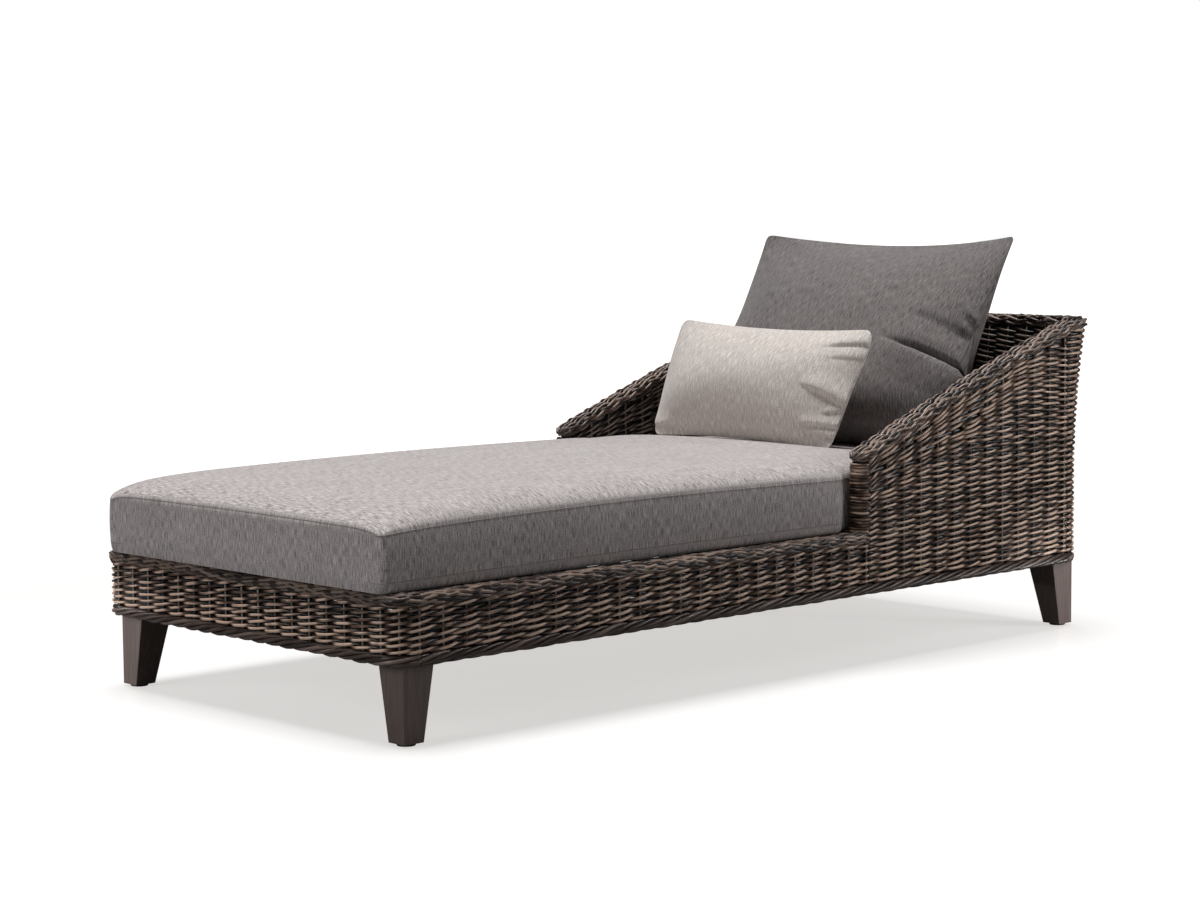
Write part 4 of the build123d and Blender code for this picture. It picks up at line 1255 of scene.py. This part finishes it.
def seat_cushion():
    """The boxed seat cushion: a flat base, bowed sides with a seam above, and a crowned top."""
    ends = 1 - np.cos(np.linspace(0, np.pi / 2, 22))
    x = np.concatenate(
        [
            seat_foot_x + seat_corner * ends,
            np.linspace(seat_foot_x + seat_corner, seat_neck_x - seat_shoulder, 300)[1:],
            seat_neck_x - seat_shoulder * ends[::-1][1:],
            np.linspace(seat_neck_x, seat_head_x - seat_corner, 70)[1:],
            (seat_head_x - seat_corner * ends)[::-1][1:],
        ]
    )
    rings, foot_edge, top_seam, bottom_seam = seat_sections(x, dense_shares(111), np.linspace(0, 1, 17))
    piece = cushion_object("seat_cushion_soft", rings)
    points, facing = corner_points(piece.data)
    on_end = np.abs(facing[:, 0]) > end_facing
    on_side = np.abs(facing[:, 1]) > side_facing
    fast = np.where(on_end, points[:, 1], points[:, 0])
    slow = np.where(on_end | on_side, points[:, 2], points[:, 1])
    add_threads(piece, np.stack([fast, slow], -1))
    strands = []
    low_edge = foot_edge * [1, 1, 0] + [0, 0, bottom_seam[0, 3]]
    for seam, edge in ((top_seam, foot_edge), (bottom_seam, low_edge)):
        near_run = seam[::-1][:, [0, 1, 3]] * [1, -1, 1]
        path = np.concatenate([near_run[:-1], edge, seam[1:][:, [0, 2, 3]]])
        strands.append((path, unit(path * seam_facing), seam_thread_radius, 0.5))
    return piece, bundle("seat_cushion_seams", strands)


def tuck(across, up, size, start, end, sag, width, ridge, hollow):
    """How far one tuck lifts the cloth at places given as shares across and up the pillow.

    The tuck runs from its start to its end with a sag. On its lower side the cloth rises to a ridge that
    falls off as an exponential of the distance, and above the ridge it drops into a hollow.
    """
    run = (across - start[0]) / (end[0] - start[0])
    line = start[1] + (end[1] - start[1]) * np.clip(run, 0, tuck_end_share)
    line = line - sag * 4 * run * (1 - run) * (run < 1)
    slope = (end[1] - start[1]) * size[1] / ((end[0] - start[0]) * size[0])
    off = (up - line) * size[1] / math.hypot(1, slope)
    fade = smooth_step(run / tuck_fade_shares[0]) * smooth_step((tuck_end_share - run) / tuck_fade_shares[1])
    widened = tuck_first_width_share + (1 - tuck_first_width_share) * np.clip(run, 0, 1)
    reach = off / (width * widened)
    beyond = np.maximum(reach, 0)
    below = ridge * np.exp(np.minimum(reach, 0) / tuck_falls[0])
    above = ridge * np.exp(-beyond / tuck_falls[1]) - hollow * reach * np.exp(1 - beyond)
    return fade * np.where(reach < 0, below, above)


def tucks(across, up, size, tuck_shares, tuck_sizes):
    """The lift of all the tucks of a pillow."""
    return sum(tuck(across, up, size, *line, *section) for line, section in zip(tuck_shares, tuck_sizes))


def outline_shares(across, up, half_size, rounding):
    """Shares across and up, from -1 to 1, drawn in so that the outline's corners are rounded.

    Each edge is drawn in by a high power of the other share, so that both edges meet the corner's middle at
    half a right angle.
    """
    pull = rounding * (1 - math.sqrt(0.5))
    width, height = half_size
    round_across = across * (1 - pull / width * np.abs(up) ** (height / pull))
    round_up = up * (1 - pull / height * np.abs(across) ** (width / pull))
    return round_across, round_up


def curled(point, curl, reach):
    """A point of a profile, moved by its curl as far as the reach says."""
    return point[0] + curl[0] * reach, point[1] + curl[1] * reach


def bow(start, end, sagitta, share):
    """Points along a bow from start to end: the chord, plus the sagitta times a rounded arch to its left."""
    start = np.stack(np.broadcast_arrays(*start), -1)
    end = np.stack(np.broadcast_arrays(*end), -1)
    chord = end - start
    left = unit(np.stack([-chord[..., 1], chord[..., 0]], -1))
    arch = (4 * share * (1 - share)) ** bow_power
    return start + chord * share[..., None] + left * (sagitta * arch)[..., None]


def softened(sheet, weight, rounds):
    """A sheet of points evened out along its second way, more where the weight is larger."""
    sheet = sheet.copy()
    for _ in range(rounds):
        middle = (sheet[:, :-2] + sheet[:, 2:]) / 2
        sheet[:, 1:-1] += weight * (middle - sheet[:, 1:-1])
    return sheet


def fullness(across, powers):
    """How full a pillow is across its width: a power of 1 less a power of the share, so 0 at both ends."""
    return (1 - np.abs(across) ** powers[0]) ** powers[1]


def swelling(up, size, middle, width):
    """A bell curve up the side of a pillow."""
    return size * np.exp(-(((up - middle) / width) ** 2))


def rippled(across, up, size, paces):
    """Broad ripples: two sine waves multiplied, each with its pace across and its pace up."""
    first, second = [np.sin(pace_up * up + pace_across * across) for pace_across, pace_up in paces]
    return size * first * second


def spread_out(profile, y):
    """A sheet of points in X, Y and Z from its profile in X and Z and its places in Y."""
    return np.stack([profile[..., 0], y, profile[..., 1]], -1)


def lifted(sheet, lift):
    """A sheet moved out by a lift, along the cross product of its two directions."""
    normals = unit(np.cross(np.gradient(sheet, axis=0), np.gradient(sheet, axis=1)))
    return sheet + normals * lift[..., None]


def pillow_object(name, front, rear):
    """A closed pillow from its front and rear sheets, which share the points of the seam all round."""
    columns, rows = front.shape[:2]
    front_index = np.arange(columns * rows).reshape(columns, rows)
    inner = np.zeros((columns, rows), bool)
    inner[1:-1, 1:-1] = True
    rear_index = front_index.copy()
    rear_index[inner] = columns * rows + np.arange(inner.sum())
    points = np.concatenate([front.reshape(-1, 3), rear[inner]])

    def quads(index):
        return np.stack([index[:-1, :-1], index[1:, :-1], index[1:, 1:], index[:-1, 1:]], -1).reshape(-1, 4)

    piece = make_object(name, points, quads(front_index).tolist() + quads(rear_index)[:, ::-1].tolist())
    flat = np.stack([front[..., 1], lengths_along(front)], -1)
    flat_at = np.concatenate([flat.reshape(-1, 2), flat[inner] + rear_cloth_shift])
    add_threads(piece, flat_at[corner_vertices(piece.data)])
    return piece


def back_profiles(across, shares):
    """Smooth front and rear profiles of the back cushion at places across it, as points in X and Z.

    In front there are two bows, from the seat to the waist and on to the top, and two more over the hollow
    behind. Each profile is evened out along its length.
    """
    across, shares = np.meshgrid(across, shares, indexing="ij")
    full = fullness(across, back_full_powers)
    reach = across**2
    bottom = curled(back_bottom, back_bottom_curl, reach)
    top = curled(back_top, back_top_curl, reach)
    waist_x, waist_z = curled(back_waist, back_waist_curl, reach)
    front_middle = (waist_x - back_front_depth * full, waist_z)
    rear_middle = (waist_x + back_rear_depth * full, waist_z)
    halves = (
        (front_middle, back_front_waist_share, back_front_bows),
        (rear_middle, back_rear_waist_share, back_rear_bows),
    )
    sheets = []
    for middle, share, bows in halves:
        lower = bow(bottom, middle, bows[0] * full, np.clip(shares / share, 0, 1))
        upper = bow(middle, top, bows[1] * full, np.clip((shares - share) / (1 - share), 0, 1))
        sheets.append(softened(np.where((shares < share)[..., None], lower, upper), *back_smoothing))
    return sheets


def read_profiles(profiles, shares, table_shares):
    """Each profile read at its own shares of its length."""
    rows = zip(shares, profiles)
    return np.array([[np.interp(row, table_shares, table) for table in profile.T] for row, profile in rows])


def crease_lift(off):
    """Shift along and out of a profile beside a deep crease, at signed lengths from it.

    The cloth below swells into a lip that rolls over into the crease, and the cloth above hangs over it.
    Both shifts are read between the crease's places and then evened out.
    """
    fine = np.linspace(crease_places[0], crease_places[-1], 361)
    window = np.hanning(crease_window) / np.hanning(crease_window).sum()
    shifts = []
    for table in (crease_along, crease_out):
        padded = np.pad(np.interp(fine, crease_places, table), crease_window // 2, mode="edge")
        shifts.append(np.interp(off, fine, np.convolve(padded, window, "valid")))
    return shifts


def back_cushion():
    """The large back cushion: it stands on the seat, leans on the back rim and folds at its waist.

    Its rows run along the crease, which is deep at the near end and fades to the middle.
    """
    across = dense_shares(161)
    crease_up = np.interp(across, crease_across_shares, crease_up_shares)[:, None]
    even = np.linspace(0, 1, 61)
    eased = back_even_share * even + (1 - back_even_share) * (1 - np.cos(np.pi * even)) / 2
    up = np.concatenate([crease_up * eased, crease_up + (1 - crease_up) * eased[1:]], axis=1)
    grid = np.broadcast_to(across[:, None], up.shape)
    half_size = (back_size[0], back_size[1] / 2)
    round_across, round_up = outline_shares(grid, 2 * up - 1, half_size, back_rounding)
    round_up = (round_up + 1) / 2
    table_shares = np.linspace(0, 1, 193)
    front, rear = [
        np.swapaxes(read_profiles(profiles, round_up, table_shares), 1, 2)
        for profiles in back_profiles(across, table_shares)
    ]
    seam = smooth_step((1 - np.abs(across)) / back_seam_share)
    depth = smooth_step((-crease_fade_share - across) / crease_fade_share) ** crease_fade_power * seam
    tangent = unit(np.gradient(front, axis=1))
    outward = np.stack([-tangent[..., 1], tangent[..., 0]], -1)
    climbed = lengths_along(front)
    crease_row = len(even) - 1
    along, out = crease_lift(climbed - climbed[:, crease_row : crease_row + 1])
    front = front + depth[:, None, None] * (tangent * along[..., None] + outward * out[..., None])
    swollen = swelling(up, *back_swell_shares) * (across < 0)[:, None]
    half = back_size[0] * (1 - back_draw_share * np.sin(np.pi * np.clip(up, 0, 1)) + swollen)
    y = back_offset + round_across * half
    lift = tucks(grid, up, back_size, back_tuck_shares, back_tuck_sizes)
    lift = lift + rippled(grid, up, back_ripple, back_ripple_paces)
    lift = lift * seam[:, None] * smooth_step((1 - np.abs(2 * up - 1)) / pillow_edge_share)
    return pillow_object("back_cushion_soft", lifted(spread_out(front, y), lift), spread_out(rear, y))


def lumbar_pillow():
    """The lumbar pillow: a plump lens that stands on the seat and leans back, with tucks at its near end."""
    across, up = np.meshgrid(dense_shares(201), dense_shares(131), indexing="ij")
    half_size = (lumbar_size[0], lumbar_size[1] / 2)
    round_across, round_up = outline_shares(across, up, half_size, lumbar_rounding)
    up = (up + 1) / 2
    round_up = (round_up + 1) / 2
    full = fullness(across, lumbar_full_powers)
    bottom_x, bottom_z = curled(lumbar_bottom, lumbar_bottom_curl, across**2)
    top_x, top_z = curled(lumbar_top, lumbar_top_curl, across**2)
    bottom = (bottom_x, bottom_z + lumbar_bottom_tilt * across)
    top = (top_x, top_z + lumbar_top_tilt * across)
    front = bow(bottom, top, lumbar_front_bow * full, round_up)
    rear = bow(bottom, top, lumbar_rear_bow * full, round_up)
    near_drawn = lumbar_near_draw_share * (1 - up) ** lumbar_near_power - swelling(up, *lumbar_swell_shares)
    near_drawn = near_drawn + lumbar_near_foot_shares[0] * np.exp(-up / lumbar_near_foot_shares[1])
    far_drawn = lumbar_far_draw_shares[0] * (1 - up) ** 2 - lumbar_far_draw_shares[1] * np.sin(np.pi * up)
    y = lumbar_offset + round_across * lumbar_size[0] * (1 - np.where(across < 0, near_drawn, far_drawn))
    lift = tucks(across, up, lumbar_size, lumbar_tuck_shares, lumbar_tuck_sizes)
    lift = lift + rippled(across, up, lumbar_ripple, lumbar_ripple_paces)
    lift = lift * smooth_step((1 - np.abs(across)) / lumbar_seam_share)
    lift = lift * smooth_step((1 - np.abs(2 * up - 1)) / pillow_edge_share)
    return pillow_object("lumbar_pillow_soft", lifted(spread_out(front, y), lift), spread_out(rear, y))


seat_piece, seat_seams = seat_cushion()
soft_pieces = (
    (seat_piece, seat_finish, "seat_fabric", "seat_cushion", "foam", 0.85),
    (back_cushion(), back_finish, "back_fabric", "back_cushion", "filling", 0.55),
    (lumbar_pillow(), pillow_finish, "pillow_fabric", "lumbar_pillow", "filling", 0.5),
)
for piece, finish, slot, body, core, fill in soft_pieces:
    settle(piece, finish, slot, f"{body}_cover", f"{body}_{core}", body=body)
settle(seat_seams, thread_finish, "seat_fabric", body="seat_cushion")

# Finishes of the CAD pieces that stay
finish_of_slot = {
    "leg_wood": wood_material("stained_leg_wood", (0.128, 0.092, 0.081), (0.197, 0.147, 0.131)),
    "glide_plastic": plain_material("glide_plastic", (0.02, 0.02, 0.02), 0.5),
    "zinc_steel": plain_material("zinc_plate", (0.55, 0.55, 0.53), 0.35, metallic=1.0),
    "webbing": plain_material("webbing_strap", (0.03, 0.03, 0.03), 0.85, scale=900, strength=0.3),
    "cushion_core": core_finish,
    "seat_fabric": core_finish,
    "back_fabric": core_finish,
    "pillow_fabric": core_finish,
}
slot_of_node = {row["node"]: row["material_slot"] for row in frame["record"]["subparts"]}
for name, cad_node in frame["nodes"].items():
    for socket in cad_node.material_slots:
        socket.material = finish_of_slot.get(slot_of_node[name], tube_finish)

# Floor, light and camera
floor_corners = [(x * floor_reach, y * floor_reach, 0) for x, y in ((-1, -1), (1, -1), (1, 1), (-1, 1))]
floor = make_object("studio_floor", floor_corners, [(0, 1, 2, 3)], False)
floor_finish, floor_tree, floor_shader = new_material("studio_floor", 0.3, 0.3)
floor_shader.inputs["Emission Color"].default_value = (1.0, 0.973, 0.95, 1)
seen = node(floor_tree, "LightPath").outputs["Is Camera Ray"]
spot = node(floor_tree, "TexCoord").outputs["Object"]
distance = node(floor_tree, "VectorMath", {}, {"Vector": spot}, operation="LENGTH").outputs["Value"]
glow = worked_out(floor_tree, "MULTIPLY", ranged(floor_tree, distance, glow_start, glow_end, 0.63), seen)
floor_tree.links.new(glow, floor_shader.inputs["Emission Strength"])
floor_tree.links.new(ranged(floor_tree, seen, 0.0, 1.0, 0.12, 0.38), floor_shader.inputs["Base Color"])
floor.data.materials.append(floor_finish)

world = bpy.data.worlds.new("studio")
bpy.context.scene.world = world
world.use_nodes = True
sky = world.node_tree.nodes["Background"]
sky.inputs["Color"].default_value = (1, 1, 1, 1)
sight = node(world.node_tree, "LightPath").outputs["Is Camera Ray"]
world.node_tree.links.new(ranged(world.node_tree, sight, 0.0, 1.0, 0.06), sky.inputs["Strength"])


def stand(name, data, place, right, up, ahead):
    """A lamp or camera at a place, with its ways to the right, up and ahead."""
    holder = bpy.data.objects.new(name, data)
    turn = np.eye(4)
    turn[:3, :3] = np.stack([right, up, -ahead], -1)
    turn[:3, 3] = place
    holder.matrix_world = Matrix(turn.tolist())
    bpy.context.scene.collection.objects.link(holder)
    return holder


for name, kind, place, aim, power, settings in lamps:
    lamp = bpy.data.lights.new(name, kind)
    lamp.energy = power
    for key, value in settings.items():
        setattr(lamp, key, value)
    away = unit(np.array(place, float) - np.array(aim, float))
    right = unit(np.cross([0.0, 1.0, 0.01], away))
    stand(name, lamp, place, right, np.cross(away, right), -away)

lens = bpy.data.cameras.new("view_camera")
lens.lens = lens_length
lens.sensor_width = sensor_width
lens.clip_end = floor_reach
ahead = np.array(
    [
        math.sin(camera_yaw) * math.cos(camera_pitch),
        math.cos(camera_yaw) * math.cos(camera_pitch),
        -math.sin(camera_pitch),
    ]
)
level_right = np.array([math.cos(camera_yaw), -math.sin(camera_yaw), 0])
level_up = np.cross(level_right, ahead)
camera_right = math.cos(camera_roll) * level_right + math.sin(camera_roll) * level_up
camera_up = math.cos(camera_roll) * level_up - math.sin(camera_roll) * level_right
bpy.context.scene.camera = stand("view_camera", lens, camera_place, camera_right, camera_up, ahead)
bpy.context.scene.view_settings.view_transform = "Standard"
